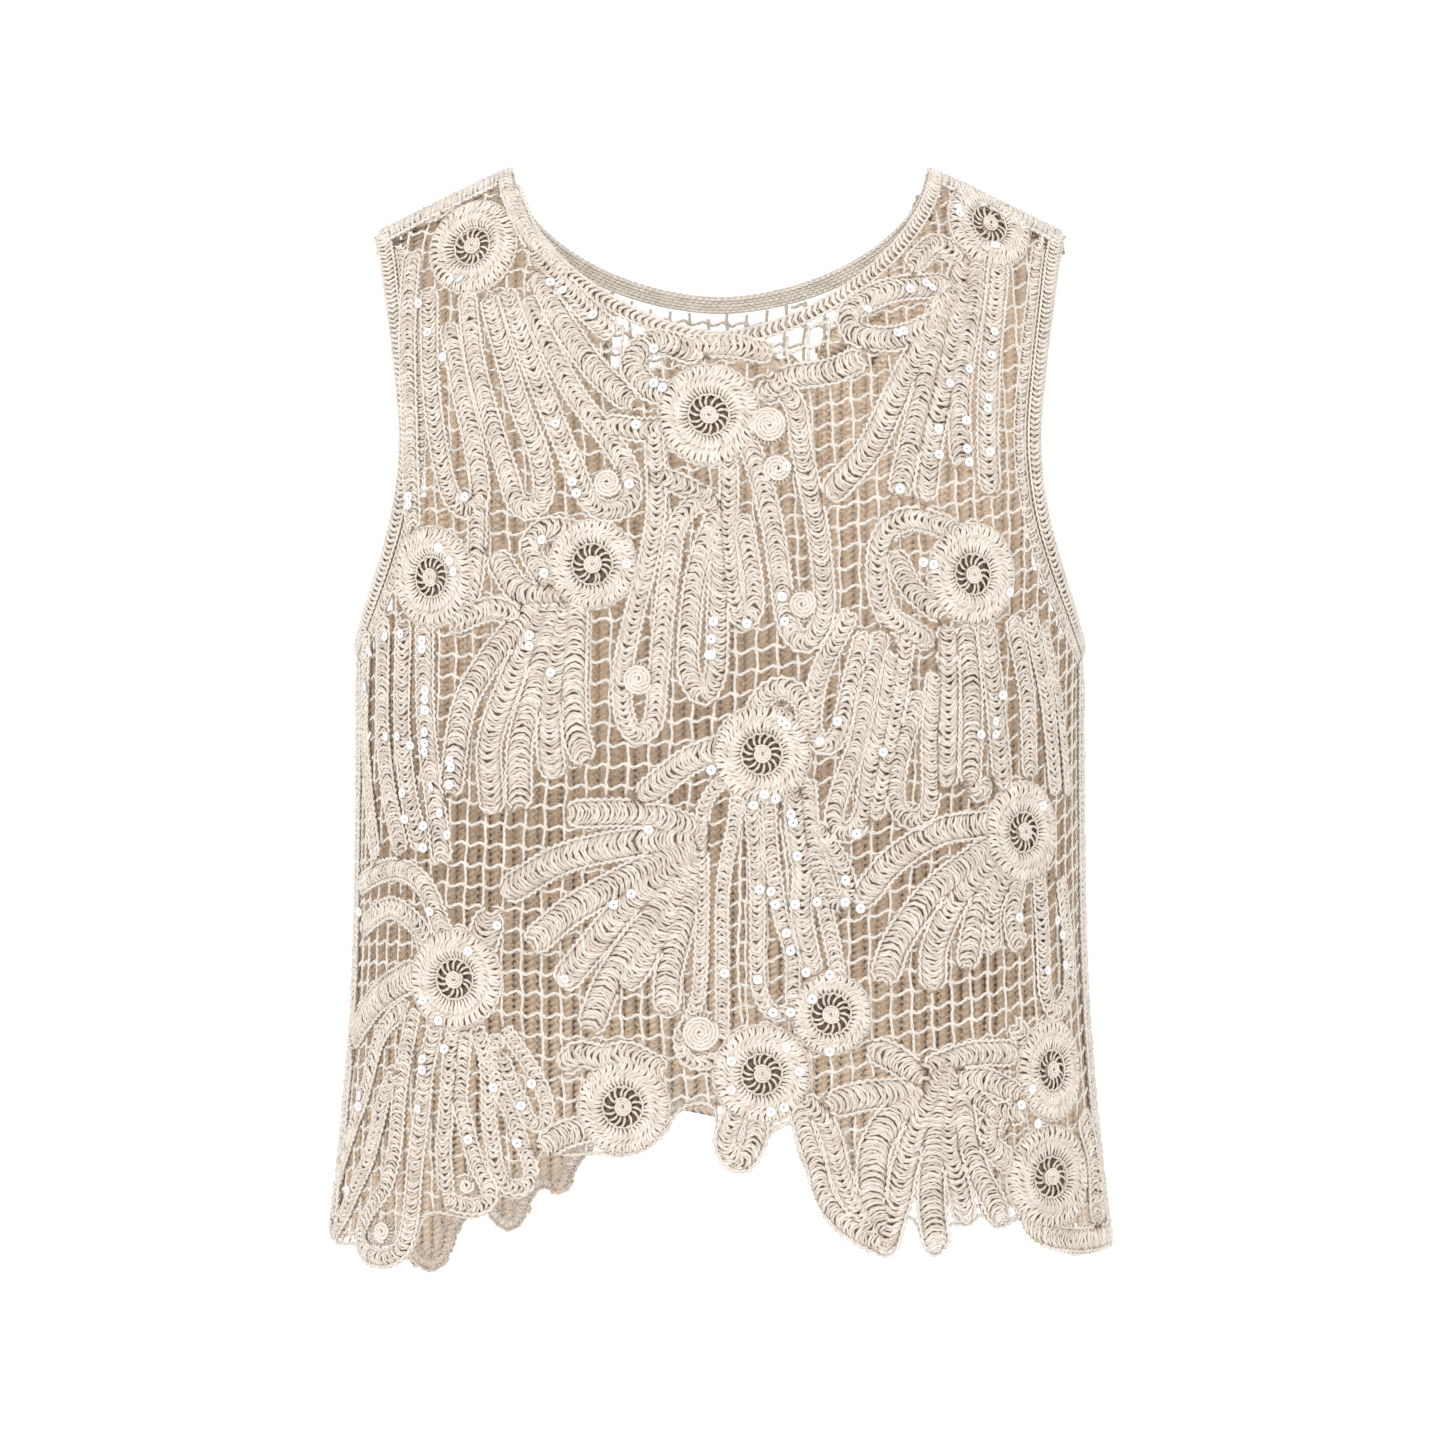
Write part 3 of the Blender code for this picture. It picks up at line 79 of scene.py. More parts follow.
def sectionDepth(x, z, side):
    # superellipse across, drawn in towards the shoulder line by (1 - t^p)^q
    f = wornForm
    rows = f["rows"]
    half = tableCurve(rows[:, 0], rows[:, 1], z)
    deep = tableCurve(rows[:, 0], rows[:, 2 if side < 0 else 3], z)
    across = np.clip(1 - np.abs(x / half)**f["roundness"], 0, 1)**(1 / f["roundness"])
    t = np.clip((z - f["leanFrom"]) / (ridgeHeight(x) - f["leanFrom"]), 0, 1)
    return side * deep * across * (1 - t**f["leanPower"])**f["leanShare"]


def makeChart(side):
    # flat pattern of one side: s along the level section from the middle, z the height
    heights = np.arange(*wornForm["levels"], wornForm["levelStep"])
    share = np.sin(np.linspace(0, 1, 241) * np.pi / 2)
    half = tableCurve(wornForm["rows"][:, 0], wornForm["rows"][:, 1], heights)
    x = half[:, None] * share[None, :]
    y = sectionDepth(x, heights[:, None] + 0 * x, side)
    arc = np.cumsum(np.hypot(np.diff(x, axis=1), np.diff(y, axis=1)), axis=1)
    arc = np.concatenate([np.zeros((len(half), 1)), arc], axis=1)
    s = np.arange(0, wornForm["reach"], wornForm["acrossStep"])
    grid = np.array([np.interp(s, arc[k], x[k]) for k in range(len(half))])
    return {"side": side, "heights": heights, "share": share, "half": half, "arc": arc, "grid": grid}


def chartLevel(chart, z):
    # pattern row under each height and how far it lies towards the next
    f = (np.asarray(z, float) - chart["heights"][0]) / wornForm["levelStep"]
    f = np.clip(f, 0, len(chart["heights"]) - 1.001)
    i = f.astype(int)
    return i, f - i


def seamAt(chart, z):
    # how far out the side seam lies at each height
    i, t = chartLevel(chart, z)
    return chart["arc"][i, -1] * (1 - t) + chart["arc"][i + 1, -1] * t


def flatFrom(chart, xz):
    # chart point of a point seen at x across and height z
    out, c = [], chart
    for (x, z), i, t in zip(xz, *chartLevel(chart, xz[:, 1])):
        low, high = (np.interp(abs(x) / c["half"][k], c["share"], c["arc"][k]) for k in (i, i + 1))
        out.append((np.sign(x) * (low * (1 - t) + high * t), z))
    return np.array(out)


def acrossAt(chart, s, z):
    # bilinear reading of x from s and z
    i, t = chartLevel(chart, z)
    f = np.clip(np.abs(s) / wornForm["acrossStep"], 0, chart["grid"].shape[1] - 1.001)
    j = f.astype(int)
    w = f - j
    low, high = (chart["grid"][k, j] * (1 - w) + chart["grid"][k, j + 1] * w for k in (i, i + 1))
    return np.sign(s) * (low * (1 - t) + high * t)


def bodyPoint(chart, s, z):
    # point of the worn shape; past the shoulder line it runs down the other side
    x = acrossAt(chart, s, z)
    top = ridgeHeight(x)
    over = z > top
    down = np.where(over, 2 * top - z, z)
    y = np.where(over, sectionDepth(x, down, -chart["side"]), sectionDepth(x, down, chart["side"]))
    return np.stack([x, y, down], axis=-1)


def fluteLift(chart, s, z):
    # rounded waves that grow from the waist to the hem and die out at the seams
    f = wornForm
    t = np.clip((f["fluteFrom"] - z) / f["fluteReach"], 0, 1)
    w = np.clip((1 - np.abs(s) / seamAt(chart, z)) / f["fluteSoft"], 0, 1)
    lift = 0
    for place, drift, half, high in f["flutes"][chart["side"]]:
        lift = lift + high * np.exp(-((s - place - drift * (z - f["fluteHem"])) / half)**2)
    return lift * t * t * (3 - 2 * t) * w * w * (3 - 2 * w)


def unit(v):
    return v / np.maximum(np.linalg.norm(v, axis=-1, keepdims=True), 1e-9)


def leftOf(way):
    # each direction turned a quarter to the left
    return np.stack([-way[:, 1], way[:, 0]], axis=1)


def runLength(points):
    # length of the path up to each of its points
    return np.concatenate([[0], np.cumsum(np.linalg.norm(np.diff(points, axis=0), axis=1))])


def onCloth(chart, flat, off):
    # chart points moved out along the worn shape's normal by off plus the flutes
    s, z = flat[..., 0], flat[..., 1]
    lim, probe = seamAt(chart, z) - 0.02, wornForm["probe"]
    s = np.clip(s, -lim, lim)
    p = bodyPoint(chart, s, z)
    right, left = (bodyPoint(chart, np.clip(s + d, -lim, lim), z) for d in (probe, -probe))
    above, below = (bodyPoint(chart, s, z + d) for d in (probe, -probe))
    n = unit(np.cross(right - left, above - below) * (-chart["side"]))
    return p + n * (off + fluteLift(chart, s, z))[..., None], n


def smoothPath(points, step):
    # Catmull-Rom through the points, read again at even steps
    p = np.array(points, float)
    if len(p) > 2:
        q = np.vstack([2 * p[0] - p[1], p, 2 * p[-1] - p[-2]])
        t = np.linspace(0, 1, 9)[:-1][:, None]
        runs = []
        for a, b, c, d in zip(q, q[1:], q[2:], q[3:]):
            runs.append(0.5 * (2 * b + (c - a) * t + (2 * a - 5 * b + 4 * c - d) * t**2
                               + (3 * b - a - 3 * c + d) * t**3))
        p = np.vstack(runs + [p[-1:]])
    d = runLength(p)
    t = np.linspace(0, d[-1], max(2, int(round(d[-1] / step)) + 1))
    return np.stack([np.interp(t, d, p[:, k]) for k in (0, 1)], axis=1)


def longerEnds(line, more):
    # the line drawn on straight past both ends
    ways = unit(np.array([line[0] - line[2], line[-1] - line[-3]]))
    return np.vstack([line[0] + ways[0] * more, line, line[-1] + ways[1] * more])


def gapTo(points, line):
    # distance of each point from a polyline
    a, v = line[:-1], np.diff(line, axis=0)
    w = points[:, None, :] - a[None]
    t = np.clip((w * v).sum(-1) / np.maximum((v * v).sum(-1), 1e-9), 0, 1)
    return np.linalg.norm(w - t[..., None] * v, axis=-1).min(axis=1)


def nearBox(points, line, more):
    # which points lie in the line's box grown by more
    return (np.abs(points - (line.min(0) + line.max(0)) / 2) < np.ptp(line, axis=0) / 2 + more).all(axis=1)


def insideOf(points, loop):
    # even-odd test of each point against a closed loop
    x, y = points[:, 0][:, None], points[:, 1][:, None]
    a, b = loop, np.roll(loop, -1, axis=0)
    hit = (a[:, 1] > y) != (b[:, 1] > y)
    rise = np.where(a[:, 1] == b[:, 1], 1, b[:, 1] - a[:, 1])
    cut = a[:, 0] + (y - a[:, 1]) * (b[:, 0] - a[:, 0]) / rise
    return ((hit & (x < cut)).sum(axis=1) % 2) == 1


def shownRuns(show, least=3):
    # unbroken runs of places where show is true, leaving out the shortest
    for run in np.split(np.arange(len(show)), np.flatnonzero(np.diff(show.astype(int))) + 1):
        if len(run) >= least and show[run[0]]:
            yield run


def ringQuads(count, stations, sides, closed):
    # four-sided faces between each ring of points and the next, for every run
    i = np.arange(stations if closed else stations - 1)[None, :, None]
    j = np.arange(sides)[None, None, :]
    first = np.arange(count)[:, None, None] * stations * sides
    here, after, turn = first + i * sides, first + ((i + 1) % stations) * sides, (j + 1) % sides
    return np.stack([here + j, after + j, after + turn, here + turn], axis=-1).reshape(-1, 4)


def carryYarn(centre, up, size, sides, lift, thick=None, closed=False, under=0.5):
    # ring of points at each station: centre + size cos(a) across + thick sin(a) up, turned to the path;
    # round yarn is as thick as it is wide, and painted shade darkens it from its top to its lower side by the
    # given share
    n, k = centre.shape[:2]
    along = unit(np.roll(centre, -1, 1) - np.roll(centre, 1, 1) if closed else np.gradient(centre, axis=1))
    across = unit(np.cross(along, up))
    top = np.cross(across, along)
    a = np.pi / 2 + 2 * np.pi * np.arange(sides) / sides
    w, h = (np.broadcast_to(v, (n, k))[..., None, None] for v in (size, size if thick is None else thick))
    ring = (centre[:, :, None] + w * np.cos(a)[:, None] * across[:, :, None]
            + h * np.sin(a)[:, None] * top[:, :, None])
    # the yarn's own map: length along it, share of the turn round it
    ends = np.concatenate([centre, centre[:, :1]], axis=1) if closed else centre
    run = np.cumsum(np.linalg.norm(np.diff(ends, axis=1), axis=-1), axis=1)
    run = np.concatenate([np.zeros((n, 1)), run], axis=1)
    shape = (n, run.shape[1] - 1, sides)
    u0, u1 = (np.broadcast_to(r[:, :, None], shape) for r in (run[:, :-1], run[:, 1:]))
    v0, v1 = (np.broadcast_to((np.arange(sides) + d) / sides, shape) for d in (0, 1))
    uv = np.stack([np.stack(pair, -1) for pair in ((u0, v0), (u1, v0), (u1, v1), (u0, v1))], axis=-2)
    faces = [(ringQuads(n, k, sides, closed), uv.reshape(-1, 4, 2))]
    if not closed:
        first = np.arange(n)[:, None] * k * sides
        caps = np.concatenate([first + np.arange(sides), first + (k - 1) * sides + np.arange(sides)[::-1]])
        faces.append((caps, np.zeros(caps.shape + (2,))))
    # painted shade: each ring's lower side darker than its top
    shade = np.broadcast_to(lift, (n, k))[..., None] * (1 - under + under * (0.5 + 0.5 * np.sin(a)))
    return {"points": ring.reshape(-1, 3), "faces": faces, "lift": shade.ravel()}


def layYarn(chart, flat, off, size, sides, lift, **more):
    # yarn carried over the cloth through chart points: one run, or many at once
    centre, up = onCloth(chart, flat, off)
    if flat.ndim == 2:
        centre, up = centre[None], up[None]
    return carryYarn(centre, up, size, sides, lift, **more)


def joinParts(name, parts, finish):
    # one mesh from many runs of yarn; centimetres become metres here
    points, loops, counts, uvs, lifts, base = [], [], [], [], [], 0
    for part in parts:
        for faces, uv in part["faces"]:
            loops.append((faces + base).ravel())
            counts.append(np.full(len(faces), faces.shape[1]))
            uvs.append(uv.reshape(-1, 2))
        points.append(part["points"])
        lifts.append(part["lift"])
        base += len(part["points"])
    points, loops, counts = np.concatenate(points), np.concatenate(loops), np.concatenate(counts)
    starts = np.concatenate([[0], np.cumsum(counts)[:-1]])
    mesh = bpy.data.meshes.new(name)
    mesh.vertices.add(len(points))
    mesh.vertices.foreach_set("co", (points * 0.01).astype(np.float32).ravel())
    mesh.loops.add(len(loops))
    mesh.loops.foreach_set("vertex_index", loops.astype(np.int32))
    mesh.polygons.add(len(counts))
    mesh.polygons.foreach_set("loop_start", starts.astype(np.int32))
    mesh.polygons.foreach_set("use_smooth", np.ones(len(counts), bool))
    mesh.update(calc_edges=True)
    mesh.uv_layers.new(name="yarnWay").data.foreach_set("uv", np.concatenate(uvs).astype(np.float32).ravel())
    # the lift value holds the painted light and shade of each point, and the sequins' painted tint
    lift = mesh.attributes.new("lift", "FLOAT", "POINT")
    lift.data.foreach_set("value", np.concatenate(lifts).astype(np.float32))
    mesh.materials.append(finish)
    piece = bpy.data.objects.new(name, mesh)
    bpy.context.scene.collection.objects.link(piece)
    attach(piece, "root")
    print(name, int((counts - 2).sum()), "triangles")
    return piece


lace = {
    # place across and height, radius, stretch across
    "wheels": [
        (-12.1, -4, 2.3, 1), (13.5, -2.8, 2.2, 1), (-0.5, -12.2, 2.3, 1), (-13.9, -19.5, 2.3, 1),
        (-5.8, -19, 2, 1), (11.9, -19.4, 2.3, 1), (1.9, -27.6, 2.2, 1), (14.8, -31.2, 2.3, 1),
        (-12.5, -37.9, 2.3, 1), (-4.4, -43.6, 2.1, 1), (1.9, -42.1, 2.2, 1), (5.1, -39.4, 1.8, 1),
        (16.5, -42.2, 2.3, 1), (16.2, -47.1, 2.35, 1.2),
    ],
    "eye": 0.92, "hub": 0.47,
    "rosettes": [
        (-5.1, -15.3, 0.71), (2.2, -12.7, 0.9), (2.6, -14.7, 0.71), (3.7, -20.8, 0.71),
        (-3.7, -24.2, 0.76), (-0.9, -40.2, 0.9), (-11.8, -47.3, 0.42), (-16.1, -49.6, 0.55),
    ],
    # raised cords of the fans, loops and petals: width, then centre-line points
    "cords": [
        (1.02, (-15.4, -4.6), (-15.4, -8), (-15.2, -12.2), (-15, -16.9)),
        (1.02, (-14.2, -6.5), (-13.9, -10.9), (-13.3, -14.1), (-12.7, -15.8), (-11.9, -16.4),
         (-11.2, -15.8), (-11.6, -13.3), (-12.4, -10.4), (-13, -8.1)),
        (1.02, (-12.1, -6.7), (-11.6, -9.5), (-10.7, -12.4), (-9.8, -14.9), (-9.4, -16.1),
         (-8.7, -16.5), (-8.1, -15.8), (-8.3, -14), (-9.2, -11.9), (-10, -9.6), (-10.9, -6.9)),
        (1.02, (-10, -6.6), (-8.9, -9.4), (-7.7, -12.2), (-6.7, -14.5), (-6, -16), (-5.1, -16.6),
         (-4.1, -16.1), (-4.2, -14.7), (-5.2, -13.1), (-6.6, -11.3), (-7.8, -9.2), (-8.9, -7)),
        (1.21, (-8.5, -6), (-6.9, -8.5), (-5.6, -10.2), (-4.3, -11.4)),
        (1.12, (-8.6, -4.7), (-7.2, -6.2), (-5.2, -8.2)),
        (1.02, (-10.3, -1.5), (-9.1, -3.6), (-7.5, -5.4)),
        (0.93, (-3, -13.2), (-2.9, -15), (-2.9, -16.8), (-3.2, -18.6), (-3.6, -20.2), (-4, -21.8),
         (-4.4, -23.8), (-4.4, -25.4), (-4.1, -26.4), (-3.6, -26.7), (-3, -26.1), (-2.8, -24.2),
         (-2.6, -22), (-2.4, -20.1), (-2.2, -18.7), (-2.1, -17.8), (-1.8, -17), (-1.3, -16.4),
         (-0.7, -15.9)),
        (1.02, (-0.2, -16.9), (-0.6, -17.9), (-0.9, -18.8), (-1.2, -20.2), (-1.4, -22.4), (-1.4, -23.9),
         (-0.8, -24.9), (-0.2, -23.9), (-0.1, -21.1), (0, -19), (-0.1, -17.6)),
        (0.93, (0.4, -14.5), (0.4, -16.1), (0.3, -17.5), (0.4, -18.7), (0.6, -20.4), (1, -21.5),
         (1.5, -21.1), (1.5, -19.9), (1.3, -18.5), (1, -17.1)),
        (1.02, (1.4, -13.8), (1.8, -15), (2.1, -16.1), (2.4, -17.4), (2.7, -19.4), (3, -21.4),
         (3.5, -22.4), (4.1, -22.4), (4.7, -21.3), (4.6, -18.8), (4.2, -16.1), (3.7, -13.8),
         (3.4, -11.8), (2.5, -10.6)),
        (1.12, (-2.4, -12.8), (-3.6, -12.9), (-4.9, -12.7)),
        (1.21, (-1.3, -9.3), (-3, -8.8), (-4, -9.8), (-3.2, -11), (-1.8, -11.3)),
        (1.12, (-1.4, -9.1), (0.4, -9), (2, -9.3)),
        (1.21, (2.2, -11.2), (3.2, -10.5), (5, -10.2), (6.2, -9.7)),
        (1.12, (9.3, -4.9), (10.4, -4), (11.6, -4.6)),
        (1.21, (10.5, -6), (8, -6.3), (6.1, -7.3), (6.3, -8.4), (8.1, -8.6), (10.1, -7.9)),
        (1.3, (11.7, -5.1), (11.3, -5.9), (10.9, -6.7), (9.3, -9.1), (8, -11.5), (6.8, -13.8),
         (5.2, -15.6)),
        (1.21, (11.3, -6.3), (10.9, -7), (10.4, -7.7), (9.3, -11.5), (8.3, -15.4)),
        (1.21, (11.7, -6.3), (11.4, -7.3), (11.1, -8.1), (10.3, -11.4), (9.8, -13.3), (9.5, -15.6)),
        (1.21, (12.6, -4.7), (12.4, -5.5), (12.3, -6.2), (11.4, -10), (11.2, -12.3), (11.3, -14)),
        (1.21, (13.6, -5.1), (12.9, -9.5), (12.7, -13.2), (12.8, -15.2)),
        (1.02, (-11.3, -16.3), (-11.4, -18.8), (-11.8, -21)),
        (1.12, (-12.5, -21.6), (-10.7, -21), (-9.7, -21.2)),
        (1.12, (-14.3, -21.8), (-14.2, -26.1), (-13.6, -29.7), (-13.2, -32.2)),
        (1.12, (-15.7, -21.8), (-15.8, -26.1), (-15.3, -29.3), (-14.5, -31.6)),
        (1.12, (-17.3, -21.7), (-17.4, -26.1), (-16.8, -29.3), (-15.8, -31.8)),
        (1.02, (-19.2, -22.3), (-19.6, -26.1), (-18.9, -29.3), (-18, -32.1)),
        (1.12, (-6.7, -17.5), (-8, -17.4), (-8.7, -18.3), (-8, -19.6)),
        (1.3, (-7.7, -20.5), (-9.2, -20.2), (-10.2, -18.9)),
        (1.3, (-8.7, -21.2), (-10.7, -23.3), (-12.1, -25.6), (-12.7, -29)),
        (1.3, (-8.2, -21.2), (-9.6, -24.2), (-10.7, -27), (-10.6, -29.8)),
        (1.3, (-7.7, -21.3), (-8.5, -24.7), (-9.2, -27), (-9.3, -29.6)),
        (1.3, (-7.2, -21.2), (-7.7, -24.7), (-7.8, -27), (-7.7, -28.2)),
        (1.3, (-6.6, -21), (-6.7, -24.7), (-6.6, -26.5), (-6.3, -27.5)),
        (1.12, (10.6, -17.3), (8.7, -16.9), (7.5, -17.7), (7.2, -19.5), (7.7, -21.3), (9.4, -22.4)),
        (1.12, (8.1, -18.8), (8.8, -20.1), (10.1, -21.1)),
        (0.93, (5.8, -21.4), (4.6, -23.8), (4.2, -25.6), (4.3, -26.8), (4.9, -27.2), (5.5, -26.4),
         (5.9, -24.7), (6.5, -22.4)),
        (0.93, (7.3, -22.4), (6.7, -24.7), (6.3, -27), (5.5, -29.2), (5.2, -30.6), (5.7, -31.2),
         (6.5, -30.4), (6.9, -27.9), (7.5, -25.6), (7.9, -23.3)),
        (0.93, (8.5, -22.4), (8.2, -24.7), (7.8, -27), (7.1, -30.2)),
        (0.93, (9.1, -25.1), (8.2, -27.9), (8.1, -29.9), (9, -30.6), (9.7, -29.7), (9.7, -27),
         (9.9, -24.2)),
        (1.21, (10.6, -22.1), (10.6, -25.1), (10.5, -28.6)),
        (1.21, (11.5, -22.2), (11.8, -25.1), (11.7, -28.6)),
        (1.12, (12.6, -22), (13.1, -25.1), (13.5, -28.8)),
        (1.02, (14.2, -21.7), (15, -24.7), (15.2, -28.3)),
        (1.02, (15.3, -21.5), (16.5, -25.1), (17.1, -29.1)),
        (1.02, (1.7, -25.4), (2.2, -24.8), (2.9, -24.6), (3.5, -24.9), (3.9, -25.5), (3.9, -26.4)),
        (1.3, (0.2, -27.3), (-1.4, -27.9), (-3.2, -29.3)),
        (1.3, (-1.1, -31), (-3.6, -30.3), (-6.5, -30.3)),
        (1.4, (-1.4, -31.4), (-4.5, -31.7), (-7.3, -32.4), (-9.6, -33.7)),
        (1.4, (-1.4, -31.8), (-4.3, -33.3), (-6.8, -34.7), (-8.4, -36)),
        (1.4, (-1.4, -32.2), (-3.9, -34.2), (-5.7, -36.2), (-7, -37.7)),
        (1.4, (-1.4, -32.5), (-3.2, -35.1), (-5, -37.8), (-5.8, -39.7)),
        (1.3, (-1.3, -32.7), (-2.4, -35.1), (-3.5, -36.9), (-4.1, -37.7)),
        (1.3, (-1.1, -32.8), (-1.7, -35.1), (-2.3, -37.4), (-2.4, -38.8)),
        (0.65, (0.3, -28.6), (-0.1, -29), (-0.6, -29.7), (-0.8, -30.8), (-0.8, -34.2), (-0.9, -37.8),
         (-1.1, -39), (-1.5, -39.8), (-1.8, -40.5), (-1.5, -41.4), (-0.8, -41.6), (-0.2, -41.4)),
        (0.65, (0.8, -29.4), (0.6, -31), (0.3, -32.4), (0.1, -34.2), (0.1, -37), (0.1, -40.3)),
        (0.7, (1.4, -29.9), (1.6, -31.9), (1.7, -34), (1.7, -37.4), (1.8, -38.3), (2.1, -39),
         (2.6, -39.4), (3.1, -39.2)),
        (0.7, (2.2, -29.9), (2.3, -31.8), (2.5, -33.3), (2.7, -34.7), (3, -35.8), (3.3, -36.9),
         (3.3, -39.1)),
        (1.02, (3.4, -29.7), (3.5, -31.3), (3.8, -32.9), (3.7, -34.7), (3.9, -36), (4.2, -37.2)),
        (0.84, (4, -29), (4.1, -30.6), (4.3, -31.8), (4.7, -33), (5.1, -34.1), (5.5, -34.5),
         (5.9, -33.9), (5.6, -32.7), (5, -31.7), (4.5, -31)),
        (1.3, (12.8, -30.8), (10.2, -31.1), (8, -32.4), (6.6, -34)),
        (1.4, (12.5, -32), (9.9, -33.8), (8.2, -36), (7.6, -37.5)),
        (1.3, (12.8, -32.5), (10.9, -34.3), (9.9, -36.3), (9.8, -37.8)),
        (1.21, (13.2, -32.9), (12, -34.7), (11.5, -36.9)),
        (1.12, (13.6, -33.3), (12.8, -34.7), (12.8, -36.2)),
        (1.12, (14.3, -33.5), (14, -35.2), (14.3, -36.2)),
        (0.93, (15.8, -33.6), (16, -36.2), (16.1, -38.5), (16.8, -39.5), (18, -38.6), (18.1, -36.3),
         (17.6, -33.7)),
        (1.02, (-19.6, -33.7), (-16.2, -32.9), (-14.2, -33.6), (-13.1, -35.7)),
        (1.02, (-19, -35.6), (-16.4, -34.7), (-14.5, -35.5), (-13.9, -36.6)),
        (1.58, (-11.1, -36.2), (-10.8, -35.3)),
        (1.55, (-14.8, -37.8), (-16, -38.3), (-17.3, -38.9), (-18.5, -39.7), (-19.8, -40.6)),
        (0.95, (-15.2, -39.3), (-16.3, -40), (-17.1, -40.8), (-17.7, -42), (-18.3, -43.4),
         (-19.3, -44.8), (-20.4, -46.3), (-21.3, -47.7), (-21.7, -49)),
        (1, (-15.9, -42.7), (-16.5, -43.6), (-16.9, -44.8), (-17.6, -46.4), (-18.6, -47.6),
         (-19.6, -48.8), (-20.6, -49.6)),
        (0.84, (-14.7, -39.6), (-14.9, -40.6), (-15.2, -42.1), (-15.4, -43.6), (-15.5, -45.3),
         (-15.7, -46.5), (-16.1, -47.6), (-17.1, -48.6), (-17.8, -49.5), (-17.8, -50.2), (-17.1, -50.7),
         (-16, -50.8), (-15.2, -50.4), (-14.8, -49.7), (-14.6, -48.6), (-14.4, -46.2), (-14.1, -44),
         (-13.9, -42), (-13.5, -40.3)),
        (0.8, (-12.5, -40.3), (-12.7, -41.6), (-12.8, -43), (-12.9, -44.4), (-13, -45.7),
         (-12.9, -46.9), (-12.8, -47.9)),
        (0.8, (-12, -40.6), (-12.1, -42), (-12.2, -43.4), (-11.9, -44.5), (-11.6, -45.6),
         (-11.2, -46.6), (-10.8, -47.3), (-10.8, -47.9), (-11.3, -48.2), (-12, -48.2), (-12.7, -48)),
        (0.75, (-11.3, -40.3), (-10.9, -41.5), (-10.8, -42.9), (-10.8, -44.1), (-10.6, -45.4),
         (-10.4, -46.5), (-10, -47.2), (-9.3, -47.3), (-8.8, -46.9), (-8.9, -46), (-9.3, -45.1),
         (-9.7, -44), (-10.2, -43), (-10.5, -41.8), (-10.4, -40.6)),
        (0.72, (-9.9, -40.3), (-9.1, -41.4), (-8.4, -42.5), (-8, -43.6), (-8.1, -44.3), (-8.4, -44.5),
         (-8.9, -44.2), (-9.2, -43.5), (-9.7, -42.6), (-10.1, -41.6)),
        (1.21, (-2.9, -41.8), (-4.2, -41.2), (-5.2, -41.4), (-6.4, -41.2), (-7, -41.6)),
        (1.3, (-5.9, -44.5), (-7.2, -44.9), (-7.9, -45.3)),
        (1.12, (0.7, -43.8), (0.3, -45.2), (0.9, -46), (1.5, -45.3), (1.7, -44.1)),
        (1, (3.6, -43.7), (4, -45.1), (4.4, -46.2), (4.7, -47.4), (5.2, -48.3), (5.9, -49),
         (6.7, -49.5), (7.3, -49.8)),
        (1.05, (4.1, -43.5), (4.8, -44.3), (5.2, -45.3), (5.5, -46.5), (5.9, -47.5), (6.4, -48.4),
         (6.9, -49.1)),
        (1.5, (8.6, -43.5), (7.7, -44.4), (7.1, -45.6), (7, -47), (7, -48), (7.3, -48.7)),
        (1.3, (9, -42.2), (8.1, -41.5), (7.3, -41.1)),
        (1.4, (8.7, -43), (6.8, -43.1), (5.5, -43.4)),
        (1.21, (9.9, -41.8), (11.7, -41.3), (13.7, -41.3)),
        (1.21, (10.6, -42.5), (12.2, -42.5), (13.8, -43.1)),
        (1.3, (10.2, -42.1), (9.6, -43.5), (9, -44.6), (8.7, -45.7), (8.4, -46.6), (8.2, -47.7),
         (7.9, -48.6), (7.6, -49.7)),
        (1.3, (10.4, -42.2), (10, -44.4), (9.8, -45.9), (9.7, -47), (9.7, -48), (9.8, -49),
         (9.9, -49.7)),
        (1.12, (10.8, -42.5), (10.5, -44), (10.5, -45.5), (10.8, -46.7), (11, -47.6), (11.2, -48.5)),
        (1.2, (11.1, -43.4), (11.3, -44.8), (11.6, -46), (12, -47), (12.5, -47.8), (12.9, -48.6)),
        (1.21, (14.2, -44), (12.8, -44.2), (12.4, -45.3), (13.5, -46.3)),
        (1.12, (14.6, -49), (15.3, -49.5), (16.1, -49.8), (17.2, -50), (18.5, -50.1), (20.6, -50.1),
         (22.6, -50.1)),
        (1.02, (-2.6, -15.1), (-1.8, -15.4), (-0.9, -15.9), (-0.4, -16.3)),
        (0.75, (4.2, -32.1), (4.6, -33.8), (4.9, -35.1), (5.2, -36.5), (5.4, -37.6)),
        (1.1, (14.2, -40.2), (14.9, -41.1)),
        (1.5, (19.2, -44.8), (19.9, -46.2), (20, -47.6), (19.9, -48.9)),
        (0.9, (11.8, -29), (12.1, -29.4), (12.5, -29.1)),
        (0.9, (11.4, -42.9), (12.3, -43.7), (13.2, -44.5)),
        (0.6, (16.3, -21.9), (17.3, -24.5), (18, -27.2), (18.3, -29.3)),
    ],
    # plain upright cords beside the side seams
    "sideCords": [
        (0.9, (21.9, -24.5), (21.9, -34), (21.8, -43), (22.3, -49.6)),
        (0.9, (20.9, -23.6), (20.6, -33), (20.7, -42), (20.9, -48.9)),
        (0.8, (-22, -24.5), (-22, -34), (-21.9, -43), (-22.4, -49.6)),
        (0.9, (-20.9, -23.6), (-21, -33), (-20.9, -42), (-21.4, -48.9)),
    ],
    # cords only the back has
    "backCords": [
        (0.9, (15.6, -48.8), (15.7, -51), (15.3, -52.1), (14.5, -52.4), (13.7, -52), (13.3, -50.7),
         (13.1, -48.8)),
        (1.1, (11.6, -46), (11.2, -48.6), (10.6, -50.1)),
        (1.1, (9.4, -45.6), (8.9, -47.2), (8.4, -48.4)),
        (1.3, (-2, -8.4), (0, -8.9), (2.2, -8.6)),
